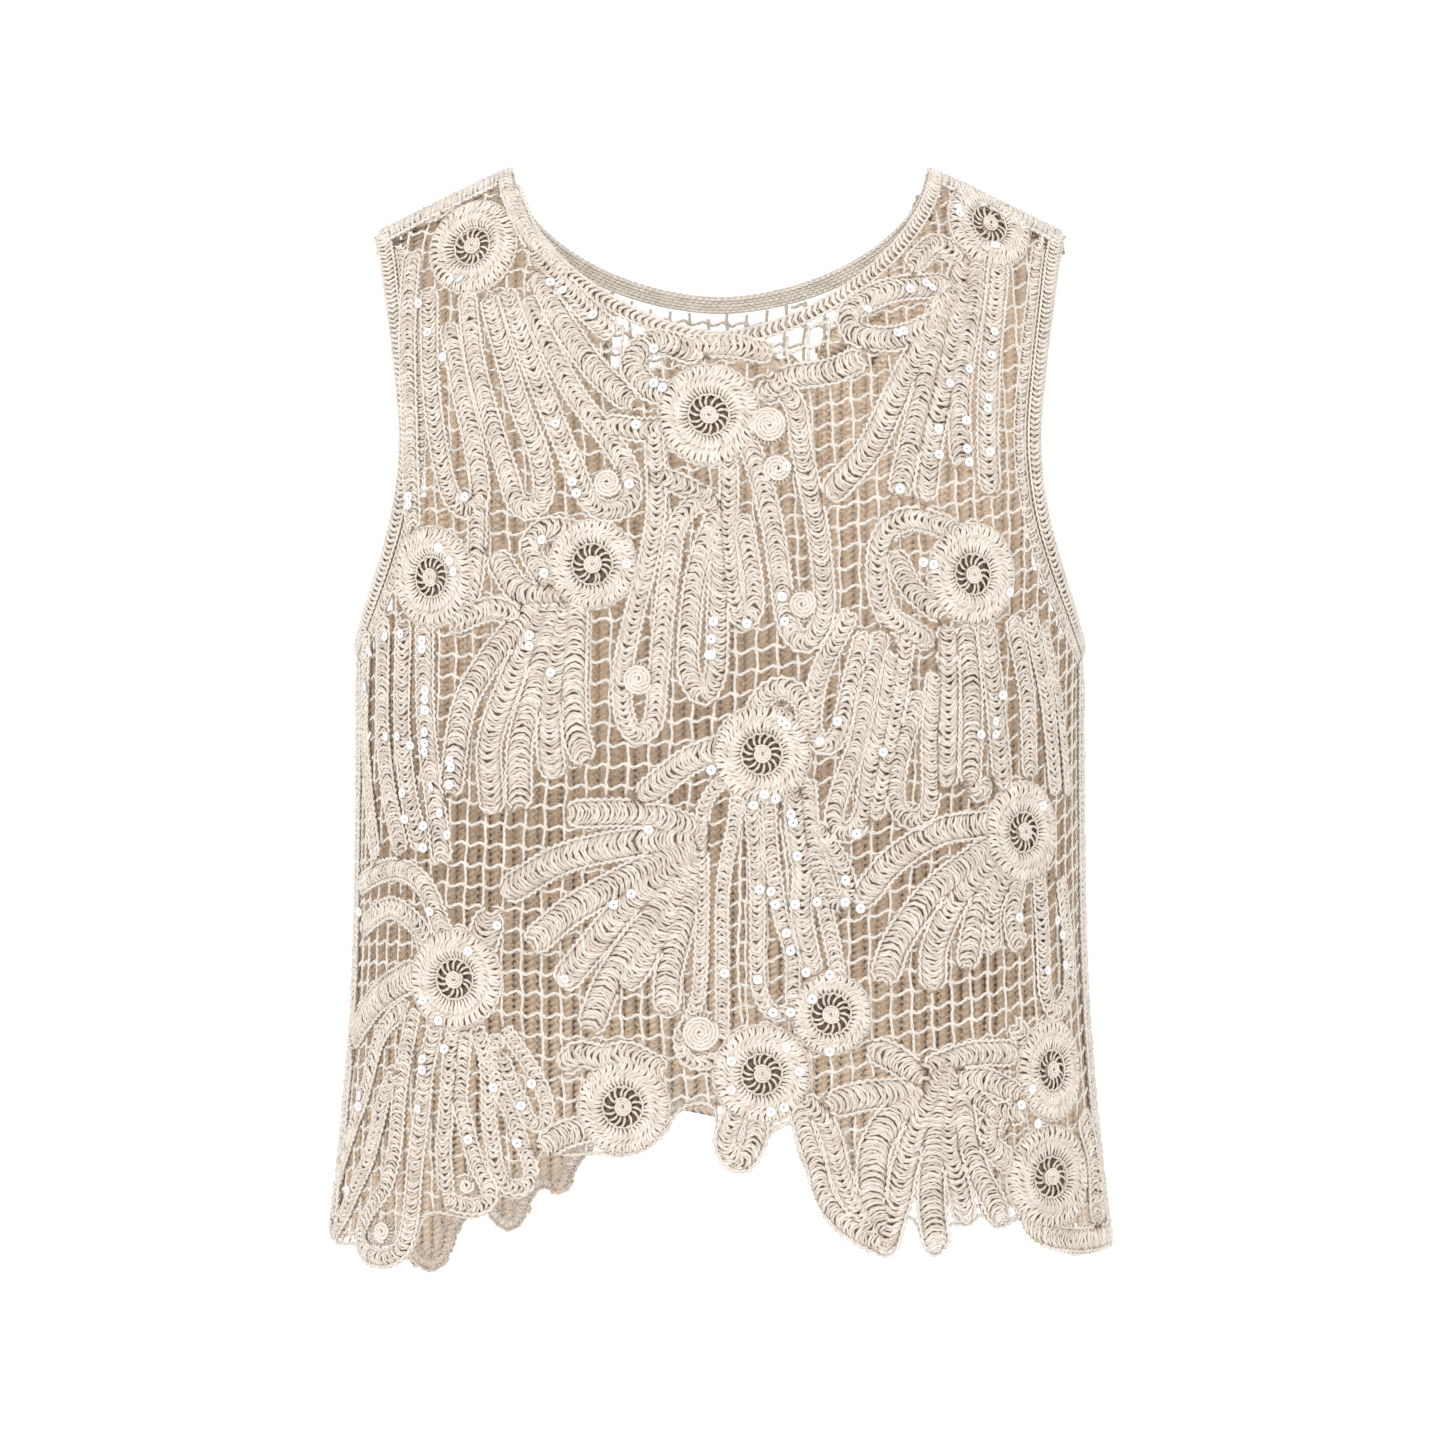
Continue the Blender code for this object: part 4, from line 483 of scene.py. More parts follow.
        (1.2, (-6.6, -6.4), (-8.6, -6), (-9.6, -7.6), (-8.4, -9.2)),
        (1.2, (6.6, -6.4), (8.6, -6), (9.6, -7.6), (8.4, -9.2)),
    ],
    "hemFront": [
        (-21.2, -50.5), (-19.9, -50.5), (-18.6, -50.4), (-18.1, -50.8), (-17.3, -51.2), (-16.1, -51.3),
        (-15.2, -51), (-14.5, -50.3), (-14.1, -49.2), (-13.7, -48.7), (-12.9, -48.7), (-12.2, -48.8),
        (-11.4, -48.8), (-10.7, -48.4), (-10.3, -47.8), (-9.6, -47.9), (-8.8, -47.5), (-8.2, -45.7),
        (-7.2, -45.9), (-5.5, -45.8), (-4.5, -45.9), (-3.4, -45.5), (-2.5, -44.9), (-1.8, -43.8),
        (-0.9, -43.5), (-0.3, -43.8), (-0.2, -45.5), (0.2, -46.3), (1, -46.6), (1.7, -46.1),
        (2.2, -45.1), (2.8, -44.5), (3.5, -44.6), (3.5, -45.6), (4, -46.7), (4.5, -47.8), (5, -48.7),
        (5.7, -49.5), (6.4, -49.9), (7, -50.2), (7.6, -50.5), (8.1, -50.2), (8.3, -49.4), (8.7, -48.7),
        (9, -49.1), (9.3, -49.9), (9.8, -50.5), (10.3, -50.2), (10.5, -49.4), (10.8, -49),
        (11.2, -49.2), (11.7, -49), (12.1, -48.7), (12.5, -49.1), (13.1, -49.3), (13.7, -49.1),
        (14.2, -49), (14.8, -49.6), (15.7, -50.2), (16.9, -50.6), (18.2, -50.8), (20.4, -50.8),
    ],
    "hemBack": [
        (-19.8, -50.9), (-17.8, -51.4), (-16.2, -51.4), (-15.5, -52.3), (-14.5, -52.9), (-13.6, -52.5),
        (-13.2, -51.3), (-12, -49.8), (-11.3, -50.5), (-10.6, -51), (-9.8, -50.6), (-9.3, -49.4),
        (-8.8, -48.9), (-8.1, -49.1), (-7.5, -48.8), (-6.9, -47.6), (-5.3, -46), (-3.7, -45.8),
        (-2.6, -45.5), (-1.6, -45.1), (-0.7, -45), (0.5, -45), (2.1, -45.1), (3.4, -45.4), (4.7, -46.6),
        (5.9, -48.3), (6.8, -49.5), (7.5, -50.1), (8.3, -49.7), (9, -48.9), (10.1, -49.6), (11, -50),
        (11.7, -49.3), (12.5, -48.9), (14, -49.6), (15.2, -49.5), (16.3, -49.8), (18.6, -50.7),
    ],
    # armhole edge of the front: height, half width; the back is cut a little wider
    "armhole": [(-4.5, 16.0), (-6.5, 15.65), (-9.5, 15.2), (-13.0, 14.85), (-16.0, 15.1),
                (-18.5, 15.75), (-20.5, 16.45), (-21.8, 16.92)],
    "armTop": 16.3, "armLow": -22.4, "backWider": 0.25,
    "neckHalf": 9.8, "neckFront": (-8.3, 1.65), "neckBack": (-5.5, 1.8),
    "neckBand": 0.75, "armBand": 0.90, "seamGap": 0.03,
    # the back is open net down to this height, this far out from its middle
    "backNet": (-9.0, 8.5),
    "singles": [
        ((1.0, -30.5), (0.9, -32.4), (0.9, -34.6), (0.8, -36.9), (0.9, -38.7), (1.0, -39.8)),
        ((2.7, -30.5), (3.0, -32.4), (3.1, -33.8)),
    ],
}


def armEdge(chart):
    # armhole edge for x > 0 in the chart, with its inward direction
    low = lace["armLow"]
    grow = 0.0 if chart["side"] < 0 else lace["backWider"]
    rows = np.array([(x, z) for z, x in lace["armhole"]])
    rows[:, 0] += grow * np.sin(np.pi * (rows[:, 1] - low) / (-low - 3.1))
    rows = np.vstack([[lace["armTop"], ridgeHeight(lace["armTop"])], rows])
    line = smoothPath(np.vstack([flatFrom(chart, rows), [seamAt(chart, low), low]]), 0.4)
    n = unit(-leftOf(np.gradient(line, axis=0)))
    n[n[:, 0] > 0] *= -1
    n[0], n[-1] = (-1, 0), (0, -1)
    return line, n


def neckLine(chart, grow):
    # superellipse drawn from the right neck point round to the left one, grown outwards
    low, power = lace["neckFront"] if chart["side"] < 0 else lace["neckBack"]
    w = lace["neckHalf"] + grow
    top, end = ridgeHeight(w), low - grow
    f = np.linspace(0, np.pi, 2001)
    x = w * np.sign(np.cos(f)) * np.abs(np.cos(f))**(2 / power)
    z = top - (top - end) * np.abs(np.sin(f))**(2 / power)
    d = np.concatenate([[0], np.cumsum(np.hypot(np.diff(x), np.diff(z)))])
    t = np.linspace(0, d[-1], 97)
    return flatFrom(chart, np.stack([np.interp(t, d, x), np.interp(t, d, z)], axis=1))


def makePanel(side, cords, wheels):
    # all that the yarn work of one side needs: chart, motifs mirrored for the back, outline, its values
    chart = makeChart(side)
    flip = 1 if side < 0 else -1
    rings = [(flip * s, z, r, wide) for s, z, r, wide in lace["wheels"]]
    if side > 0:
        # the back's hem is higher in its middle: two wheels less there, one moved up
        rings = [w for w in rings if w[1] > -42.5 or abs(w[0]) > 10]
        rings = [(s, z + 1.2 if abs(s) < 3 and z < -41 else z, r, wide) for s, z, r, wide in rings]
    rosettes = [(flip * s, z, r, 1.0) for s, z, r in lace["rosettes"] if side < 0 or z > -47.5]
    rows = lace["cords"] + lace["sideCords"] + (lace["backCords"] if side > 0 else [])
    arm, armIn = armEdge(chart)
    cut = arm + armIn * (lace["armBand"] + lace["seamGap"])
    neck = neckLine(chart, lace["neckBand"] + lace["seamGap"])
    hem = smoothPath(lace["hemFront"] if side < 0 else lace["hemBack"], 0.4)
    z = np.linspace(wornForm["sideLow"], cut[-1, 1], 40)
    seam = np.stack([seamAt(chart, z), z], axis=1)
    right = np.vstack([seam, cut[1:-1][::-1]])
    outline = np.vstack([hem, right, neck, (right * (-1, 1))[::-1]])
    return {"chart": chart, "side": side, "flip": flip, "wheels": rings, "rosettes": rosettes,
            "cords": [(row[0], smoothPath([(flip * s, z) for s, z in row[1:]], 0.3)) for row in rows],
            "arm": (arm, armIn), "hem": hem, "outline": outline, "loop": np.vstack([outline, outline[:1]]),
            "cordWork": cords, "wheelWork": wheels}


def underWheels(panel, points):
    # how far inside a wheel or rosette each point lies, in centimetres
    d = np.full(len(points), -9.0)
    for s, z, r, wide in panel["wheels"] + panel["rosettes"]:
        d = np.maximum(d, r - np.hypot((points[:, 0] - s) / wide, points[:, 1] - z))
    return d


def clearOf(panel, points):
    # free distance from the nearest raised edge
    d = -underWheels(panel, points)
    for width, line in panel["cords"]:
        near = nearBox(points, line, 3)
        if near.any():
            d[near] = np.minimum(d[near], gapTo(points[near], line) - width / 2)
    return d


def withinHem(panel, points, beyond=0.12):
    # above the hem's reach, inside the panel, or less than a strand's width outside it
    return ((points[:, 1] > -40) | insideOf(points, panel["outline"])
            | (gapTo(points, panel["loop"]) < beyond))


# raised cords: strands across, every second one low, and a chain along each side
cordWork = {
    # among these: the painted shade of the low strands and of each strand's lower side
    "wider": 0.05, "widerThin": 0.06, "pitch": 0.160, "yarn": 0.090, "bow": 0.46, "lean": 0.07,
    "wave": 0.040, "lowShare": 0.95, "lowBow": 0.86, "lowYarn": 0.92, "lower": 0.018, "lowStrandShade": 0.90,
    "braid": 0.018, "strandIn": 0.17, "edgeYarn": 0.084, "edgeIn": 0.060, "edgeWave": 0.036,
    "rest": -0.15, "rise": 0.19, "shake": 0.022, "under": 0.55, "ends": 0.42,
    # how far strands dip under a nearer cord and sink under a wheel, where they are also painted darker as
    # shade; their painted tone at the sides, and the painted highlight added on top
    "dip": 0.15, "sink": 0.12, "tone": 0.58, "topHighlight": 0.38,
    # no strand lies deeper under a wheel than this, or farther past the hem than this
    "underWheel": 0.15, "pastHem": 0.25,
    # chains show from this share of another cord's half width on, and rise where they are clear of it
    "edgeShare": 0.60, "edgeRise": 0.10,
}
# the back is made of fewer and thicker strands, their side turned to the body painted in the back finish's
# warm shade
backCordWork = dict(cordWork, pitch=0.275, yarn=0.132, edgeYarn=0.09, edgeIn=0.03, under=0.92)


def stationsOn(chart, line, pitch, shake):
    # places every pitch along the line, measured on the cloth itself
    fine = smoothPath(line, 0.08)
    run = runLength(onCloth(chart, fine, 0.0)[0])
    count = max(2, int(round(run[-1] / pitch)))
    at = (np.arange(count) + 0.5) / count * run[-1] + draws.normal(0, shake, count)
    way = unit(np.gradient(fine, axis=0))
    read = [np.interp(at, run, v) for v in (fine[:, 0], fine[:, 1], way[:, 0], way[:, 1])]
    return np.stack(read[:2], 1), unit(np.stack(read[2:], 1)), at, run[-1]


def roundedEnds(at, total, width, least):
    # share of the full width at each station: a half circle at both ends
    near = np.clip(np.minimum(at, total - at) / (width / 2), 0, 1)
    return np.maximum(np.sqrt(1 - (1 - near)**2), least)


def ladderFlat(chart, line, width, work, points, turned=1):
    # strands across the line: c + N (w/2) a + T (bow (0.4 - a^2) + lean a + wave cos(f a + phase)),
    # narrower at round ends; every second strand is shorter, flatter and waves the other way
    if "ends" in work:
        line = longerEnds(line, work["ends"] * width)
    c, t, at, total = stationsOn(chart, line, work["pitch"], work["shake"])
    low = np.arange(len(c)) % 2 == 1
    a = np.linspace(-1, 1, points)
    half = np.full(len(c), width / 2)
    if "ends" in work:
        half = half * roundedEnds(at, total, width, 0.4)
    bow = work["bow"] * np.minimum(width, 1) * draws.uniform(0.75, 1.15) * (1 + draws.normal(0, 0.12, len(c)))
    bow = bow * half / half.max()
    lean = draws.normal(0, work["lean"]) + draws.normal(0, 0.02, len(c))
    wave = np.full(len(c), work.get("wave", 0.0))
    if "lowShare" in work:
        half, bow = np.where(low, work["lowShare"], 1) * half, np.where(low, work["lowBow"], 1) * bow
        wave = wave * np.where(low, -1, 1)
    way = np.cos(np.clip(5.5 * width, 3.5, 7) * a + draws.normal(0, 0.7, (len(c), 1)))
    along = turned * bow[:, None] * (0.4 - np.abs(a)**2) + lean[:, None] * a + wave[:, None] * way
    flat = c[:, None] + leftOf(t)[:, None] * (half[:, None] * a)[..., None] + t[:, None] * along[..., None]
    return flat, np.broadcast_to(a, flat.shape[:2])


def varied(count, share):
    # a factor near one for each strand
    return 1 + draws.normal(0, share, (count, 1))


def thinEnds(a, share=0.75):
    # strands are thinner at their two ends
    return np.where(np.abs(a) > 0.99, share, 1.0)


def widened(width):
    # how wide the yarn work of a cord lies; thin cords gain less
    return width + min(cordWork["wider"], cordWork["widerThin"] * (width - 0.3))


def crowding(panel, points, owner):
    # least share of another cord's half width that each point lies at
    best = np.full(len(points), 9.0)
    for index, (width, line) in enumerate(panel["cords"]):
        width, line = widened(width), longerEnds(line, 0.4 * width)
        near = nearBox(points, line, width) & (owner != index)
        if near.any():
            best[near] = np.minimum(best[near], gapTo(points[near], line) / (width / 2))
    return best


def cordRungs(panel, stations):
    # all strands of the raised cords: high in the middle, dipping under a nearer cord or a wheel
    work, chart = panel["cordWork"], panel["chart"]
    rows = []
    for index, (width, line) in enumerate(panel["cords"]):
        flat, a = ladderFlat(chart, line, widened(width) - work["strandIn"], work, stations,
                             turned=1 if index % 2 else -1)
        rows.append((flat, a, np.full(len(flat), index), np.arange(len(flat)) % 2 == 1))
    flat, a, owner, low = (np.concatenate(v) for v in zip(*rows))
    keep = underWheels(panel, flat.mean(axis=1)) < work["underWheel"]
    keep &= withinHem(panel, flat.reshape(-1, 2), work["pastHem"]).reshape(a.shape).all(axis=1)
    flat, a, owner, low = flat[keep], a[keep], owner[keep], low[keep][:, None]
    points = flat.reshape(-1, 2)
    other = crowding(panel, points, np.repeat(owner, stations)).reshape(a.shape)
    dip = np.clip((np.abs(a) - other + 0.1) / 0.6, 0, 1)
    sunk = np.clip(underWheels(panel, points) / 0.3, 0, 1).reshape(a.shape)
    arch = np.sqrt(1 - np.abs(0.96 * a)**3)
    off = (work["rest"] + work["rise"] * arch - work["dip"] * dip - work["sink"] * sunk
           - np.where(low, work["lower"], 0))
    off = off + draws.normal(0, 0.012, (len(flat), 1)) + work["braid"] * draws.normal(0, 0.7, a.shape)
    centre, up = onCloth(chart, flat, off)
    size = work["yarn"] * varied(len(flat), 0.10) * np.where(low, work["lowYarn"], 1)
    size = size * thinEnds(a) * (1 + draws.normal(0, 0.06, a.shape))
    # painted light and shade: lighter on each strand's top, darker where it dips under a nearer cord or sinks
    # under a wheel, and the low strands darker
    lift = np.clip((work["tone"] + work["topHighlight"] * arch) * (1 - 0.5 * dip) * (1 - 0.5 * sunk), 0, 1)
    lift = lift * np.where(low, work["lowStrandShade"], 1) * varied(len(flat), 0.09)
    return centre, up, size, lift, low[:, 0]


def cordYarn(panel, rungs, chosen, sides, lowSides):
    # the chosen strands as closed runs of yarn, the lower ones with fewer faces
    centre, up, size, lift, low = rungs
    under = panel["cordWork"]["under"]
    picks = ((chosen & ~low, sides), (chosen & low, lowSides))
    return [carryYarn(centre[m], up[m], size[m], k, lift[m], under=under) for m, k in picks]


def cordEdges(panel, sides):
    # a wavy chain along each side of every cord, closed in at its ends
    work, chart = panel["cordWork"], panel["chart"]
    parts = []
    for index, (width, line) in enumerate(panel["cords"]):
        c, t, at, total = stationsOn(chart, longerEnds(line, work["ends"] * width), work["pitch"], 0.0)
        half = (widened(width) / 2 - work["edgeIn"]) * roundedEnds(at, total, width, 0.3)
        wiggle = work["edgeWave"] * np.where(np.arange(len(c)) % 2, 1, -1) + draws.normal(0, 0.01, len(c))
        for sign in (1, -1):
            flat = c + leftOf(t) * (sign * (half + wiggle))[:, None]
            other = crowding(panel, flat, np.full(len(flat), index))
            show = (underWheels(panel, flat) < 0.1) & (other > work["edgeShare"]) & withinHem(panel, flat)
            for run in shownRuns(show):
                off = work["edgeRise"] * np.clip(1.3 - other[run], -0.1, 1)
                size = work["edgeYarn"] * (1 + 0.12 * np.where(run % 2, 1, -1))
                parts.append(layYarn(chart, flat[run], off, size, sides, 1.0, under=0.75 * work["under"]))
    return parts


# wheels: strands round the ring, chains at its rim and eye, a coiled hub and spokes across the eye
wheelWork = {
    "spokes": 80, "yarn": 0.093, "rise": 0.24, "rest": -0.15, "swirl": 0.10, "hook": 0.13, "wider": 0.06,
    # the dent's valley and each strand's lower side are painted darker as shade; tone and the top highlight
    # paint the arch
    "valley": 0.038, "valleyShade": 0.16, "low": 0.016, "lowFrom": -0.6, "under": 0.45,
    "tone": 0.62, "topHighlight": 0.36, "inner": 0.62, "pairs": 0.028,
    # the chains at the rim and the eye: yarn and height
    "rim": (0.080, -0.07), "eye": (0.060, -0.03), "chainPitch": 0.2, "chainWave": 0.028,
    "coil": 0.062, "coilTurns": 3.1, "coilRest": -0.06, "coilDome": 0.14,
    "hubSpokes": 14, "hubYarn": 0.062, "hubOff": -0.09,
}
# the back's wheels paint the side turned to the body in the warm painted shade
backWheelWork = dict(wheelWork, spokes=56, yarn=0.130, under=0.92)


def roundPoint(wheel, d, angle):
    # chart point at distance d and at an angle from a wheel's or rosette's middle
    s, z, _, wide = wheel
    return np.stack([s + wide * d * np.cos(angle), z + d * np.sin(angle)], axis=-1)


def turnShares(count, shift=0.0):
    # angles of so many even places round a circle
    return 2 * np.pi * (np.arange(count) + shift) / count


def wheelRing(panel, stations, sides):
    # strands round the ring: d = m + half a, height an arch in a with a dent, angle swirled and hooked;
    # every second strand stops at the dent
    work, chart = panel["wheelWork"], panel["chart"]
    parts = []
    for wheel in panel["wheels"]:
        r = wheel[2] + work["wider"]
        m, half = (r + lace["eye"]) / 2, (r - lace["eye"]) / 2 - 0.01
        count = int(work["spokes"] * r / 2.3 / 2)
        for low in (0, 1):
            a = np.linspace(work["lowFrom"], 1, stations - 1) if low else np.linspace(-1, 1, stations)
            angle = 2 * np.pi * (np.arange(count) + low / 2 + draws.normal(0, 0.05, count)) / count
            swirl = work["swirl"] * np.sin(a * 3.4) + work["hook"] * np.clip((a - 0.4) / 0.6, 0, 1)**2
            pair = work["pairs"] * (1 - 2 * low) * np.cos(6.5 * a + draws.normal(0, 0.5, (count, 1)))
            d = m + half * a[None, :] + draws.normal(0, 0.012, (count, 1))
            flat = roundPoint(wheel, d, angle[:, None] - swirl[None, :] + pair)
            dent = np.exp(-((a + 0.05) / 0.16)**2)
            arch = np.sqrt(1 - np.abs(0.96 * a)**3)
            off = work["rest"] + work["rise"] * arch - work["valley"] * dent - work["low"] * low
            off = off + draws.normal(0, 0.010, (count, len(a)))
            thin = work["inner"] + (1 - work["inner"]) * (d / r)
            size = work["yarn"] * thin * varied(count, 0.08) * thinEnds(a)
            # painted highlight on the arch's top, painted shade in the dent, the second strands a little
            # darker
            lift = np.clip(work["tone"] + work["topHighlight"] * arch - work["valleyShade"] * dent, 0, 1)
            lift = lift * varied(count, 0.08)
            parts.append(layYarn(chart, flat, off, size, sides, lift * (1 - 0.08 * low), under=work["under"]))
    return parts


def wheelTrim(panel, sides):
    # chains round the rim and the eye, a coiled hub and short curved spokes across the eye
    work, chart = panel["wheelWork"], panel["chart"]
    eye, hub = lace["eye"], lace["hub"]
    parts = []
    for wheel in panel["wheels"]:
        for inner, kind in ((wheel[2], "rim"), (eye, "eye")):
            radius, (size, off) = inner + 0.02, work[kind]
            count = int(round(2 * np.pi * radius / work["chainPitch"] / 2)) * 2
            ring = radius + work["chainWave"] * np.where(np.arange(count) % 2, 1, -1)
            flat = roundPoint(wheel, ring, turnShares(count))
            parts.append(layYarn(chart, flat, off, size, sides, 0.95, closed=True, under=0.35))
        turns = np.linspace(0, 1, 44)
        radius = 0.07 + (hub - 0.12) * turns
        flat = roundPoint(wheel, radius, 2 * np.pi * work["coilTurns"] * turns + wheel[0])
        off = work["coilRest"] + work["coilDome"] * np.sqrt(1 - (radius / (hub + 0.1))**2)
        parts.append(layYarn(chart, flat, off, work["coil"], 5, 0.98))
        count = work["hubSpokes"]
        angle = turnShares(count, draws.normal(0, 0.10, count))
        d = np.linspace(hub - 0.09, eye + 0.10, 4)
        flat = roundPoint(wheel, d, angle[:, None] - 0.25 * ((d - hub) / (eye - hub))**2)
        parts.append(layYarn(chart, flat, work["hubOff"], work["hubYarn"], 5, 0.88, under=0.4))
    return parts


rosetteWork = {"turn": 0.17, "yarn": 0.095, "rest": -0.02, "dome": 0.12, "rimPitch": 0.2, "rimYarn": 0.075,
               "rimOff": (-0.02, -0.03, -0.12)}


def rosetteCoils(panel, sides):
    # domed coil of yarn: radius grows with the turn, height falls as a circle's arc
    work, chart = rosetteWork, panel["chart"]
    parts = []
    for rosette in panel["rosettes"]:
        s, _, r, _ = rosette
        turns = (r - 0.13) / work["turn"]
        t = np.linspace(0, 1, int(turns * 16))
        radius = 0.05 + (r - 0.14) * t
        flat = roundPoint(rosette, radius, 2 * np.pi * turns * t + 3 * s)
        off = work["rest"] + work["dome"] * np.sqrt(1 - (0.95 * radius / r)**2)
        parts.append(layYarn(chart, flat, off, work["yarn"], sides, 0.92))
        count = int(2 * np.pi * r / work["rimPitch"])
        flat = roundPoint(rosette, np.linspace(r - 0.22, r, 3), turnShares(count)[:, None])
        parts.append(layYarn(chart, flat, np.array(work["rimOff"]), work["rimYarn"], 4, 0.72))
    return parts


netWork = {
    "pitch": 0.95, "steps": 4, "yarn": 0.073, "knot": 0.030, "rowWave": 0.100, "columnWave": 0.035,
    "off": -0.17, "rowOver": 0.03, "sink": 0.07,
    # lattice rows and columns, and how many of each lie before the middle
    "rows": 64, "rowsBelow": 60, "columns": 53, "columnsLeft": 26,
    # how steeply rows rise, and height and frequency of the slow waves of columns and rows
    "slope": 0.13, "columnBend": (0.25, 0.21), "rowBend": (0.2, 0.3),
    # yarn ends this far inside a raised edge, and a run has some place this far outside one
    "end": 0.18, "open": 0.04,
    "single": 0.078, "singleOff": -0.10, "singleWave": 0.03,
}


def netWarp(panel, p, seed):
    # square lattice bent a little: rows rise to the right, columns lean in slow waves
    x, z, s = p[..., 0], p[..., 1], p[..., 0] * panel["flip"]
    rise = netWork["slope"] * (np.sqrt((s - 2)**2 + 9) + (s - 2))
    (bend, often), (sag, seldom) = netWork["columnBend"], netWork["rowBend"]
    return np.stack([x + bend * np.sin(z * often + seed),
                     z + rise + sag * np.sin(x * seldom + seed)], axis=-1)


def netRuns(panel, seed, low, reach, sides):
    # columns and rows of thin yarn through the lattice, kept where the ground is open
    work, chart, pitch, steps = netWork, panel["chart"], netWork["pitch"], netWork["steps"]
    down, left = work["rowsBelow"], work["columnsLeft"]
    spans = ((-down, work["rows"] - down), (-left, work["columns"] - left))
    fine, wide = (np.arange(a * steps, b * steps) * pitch / steps + pitch / 2 for a, b in spans)
    lines = [(False, k - left) for k in range(work["columns"])]
    lines += [(True, k - down) for k in range(work["rows"])]
    parts = []
    for rows, k in lines:
        if rows:
            phase = draws.uniform(-0.6, 0.6)
            p = np.stack([wide, np.full(len(wide), (k + 0.5) * pitch)], axis=1)
            sway = work["rowWave"] * np.sin(2 * np.pi * wide / pitch + phase)
        else:
            p = np.stack([np.full(len(fine), (k + 0.5) * pitch), fine], axis=1)
            sway = work["columnWave"] * np.sin(2 * np.pi * fine / (2.1 * pitch) + k + left)
        p[:, int(rows)] += sway + draws.normal(0, 0.012, len(p))
        flat = netWarp(panel, p, seed)
        box = (flat[:, 1] > low) & (np.abs(flat[:, 0]) < reach)
        free = np.full(len(flat), -9.0)
        at = flat[box]
        if not len(at):
            continue
        room = np.minimum(clearOf(panel, at), gapTo(at, panel["loop"]))
        free[box] = np.where(insideOf(at, panel["outline"]), room, -9)
        for run in shownRuns(free > -work["end"]):
            if free[run].max() < work["open"]:
                continue
            off = work["off"] - work["sink"] * np.clip(-free[run] / 0.15, 0, 1)
            off = off + (work["rowOver"] if rows else 0)
            size = work["yarn"] + np.where(run % steps == 0, work["knot"], 0.0)
            parts.append(layYarn(chart, flat[run], off, size, sides, 1.0, under=0.35))
    return parts


def singleRuns(panel, lines, sides):
    # loose single yarns laid straight down through the net
    work, parts = netWork, []
    for line in lines:
        flat = smoothPath(line, 0.18)
        flat[:, 0] += work["singleWave"] * np.sin(9 * flat[:, 1])
        parts.append(layYarn(panel["chart"], flat, work["singleOff"], work["single"], sides, 0.95,
                             under=0.35))
    return parts


# edgings: strands with their height at the ends and their rise, two chains with their height, a flat bed;
# each names what differs from the plain one
# tone and the top highlight paint each strand lighter on top; the low strands and each strand's lower side
# are painted darker as shade
plainBand = {"yarn": 0.090, "bow": 0.26, "lean": 0.05, "wave": 0.03, "lowShare": 0.9, "lowBow": 0.7,
             "lowYarn": 0.8, "lowStrandShade": 0.85, "tone": 0.60, "topHighlight": 0.40, "edgeWave": 0.025,
             "shake": 0.012, "under": 0.5, "bed": -0.21, "bedThick": 0.035}
bandWork = {
    "neck": dict(plainBand, pitch=0.17, yarn=0.104, bow=0.44, lean=0.16, rest=-0.13, rise=0.17, edge=0.080,
                 edgeUp=-0.03, wave=0.010, lowShare=0.72, lowBow=0.8, lower=0.09, lowStrandShade=0.62),
    "arm": dict(plainBand, pitch=0.14, yarn=0.100, bow=0.36, lean=0.10, rest=-0.13, rise=0.15, edge=0.075,
                edgeUp=-0.04, wave=0.015, lowShare=0.8, lower=0.09, lowStrandShade=0.60, shake=0.010),
    "seam": dict(plainBand, pitch=0.172, rest=-0.16, rise=0.14, edge=0.065, edgeUp=-0.07, lower=0.03),
    "ridge": dict(plainBand, pitch=0.15, yarn=0.105, bow=0.22, lean=0.10, rest=-0.06, rise=0.12, edge=0.100,
                  edgeUp=0.02, lowShare=0.94, lower=0.01, lowStrandShade=0.92),
    "strip": dict(plainBand, pitch=0.176, rest=-0.20, rise=0.08, edge=0.060, edgeUp=-0.12, lower=0.02),
    "scallop": dict(plainBand, pitch=0.20, yarn=0.110, bow=0.22, lean=0.10, rest=-0.24, rise=0.04, edge=0.090,
                    edgeUp=-0.22, wave=0.05, lowShare=0.95, lowBow=0.8, lower=0.01, lowStrandShade=0.92,
                    shake=0.02, under=0.05),
}


def bandRungs(chart, line, width, work, stations, sides, turned=1, bed=0.34):
    # plain edging: bowed strands between two wavy chains, over a flat bed
    flat, a = ladderFlat(chart, line, width - 0.12, work, stations, turned=turned)
    low = (np.arange(len(flat)) % 2 == 1)[:, None]
    arch = np.sqrt(1 - (0.9 * a)**2)
    off = work["rest"] + work["rise"] * arch - np.where(low, work["lower"], 0)
    size = work["yarn"] * thinEnds(a, 0.7) * varied(len(flat), 0.07)
    # painted highlight on each strand's top, the low strands painted darker as shade
    lift = (work["tone"] + work["topHighlight"] * arch) * np.where(low, work["lowStrandShade"], 1) * varied(len(flat), 0.05)
    size = size * np.where(low, work["lowYarn"], 1)
    parts = [layYarn(chart, flat, off, size, sides, lift, under=work["under"])]
    c, t, _, _ = stationsOn(chart, line, work["pitch"], 0.0)
    for sign in (1, -1):
        rope = (width / 2 - work["edge"]) + work["edgeWave"] * np.where(np.arange(len(c)) % 2, 1, -1)
        flat = c + leftOf(t) * (sign * rope)[:, None]
        parts.append(layYarn(chart, flat, work["edgeUp"], work["edge"], sides, 0.97, under=0.35))
    # the bed's painted tone: dark by default, as the shade seen in the slits between strands; some edgings
    # set it lighter
    parts.append(layYarn(chart, smoothPath(line, 0.45), work["bed"], width / 2 - 0.07, 6, bed,
                         thick=work["bedThick"], under=0.0))
    return parts


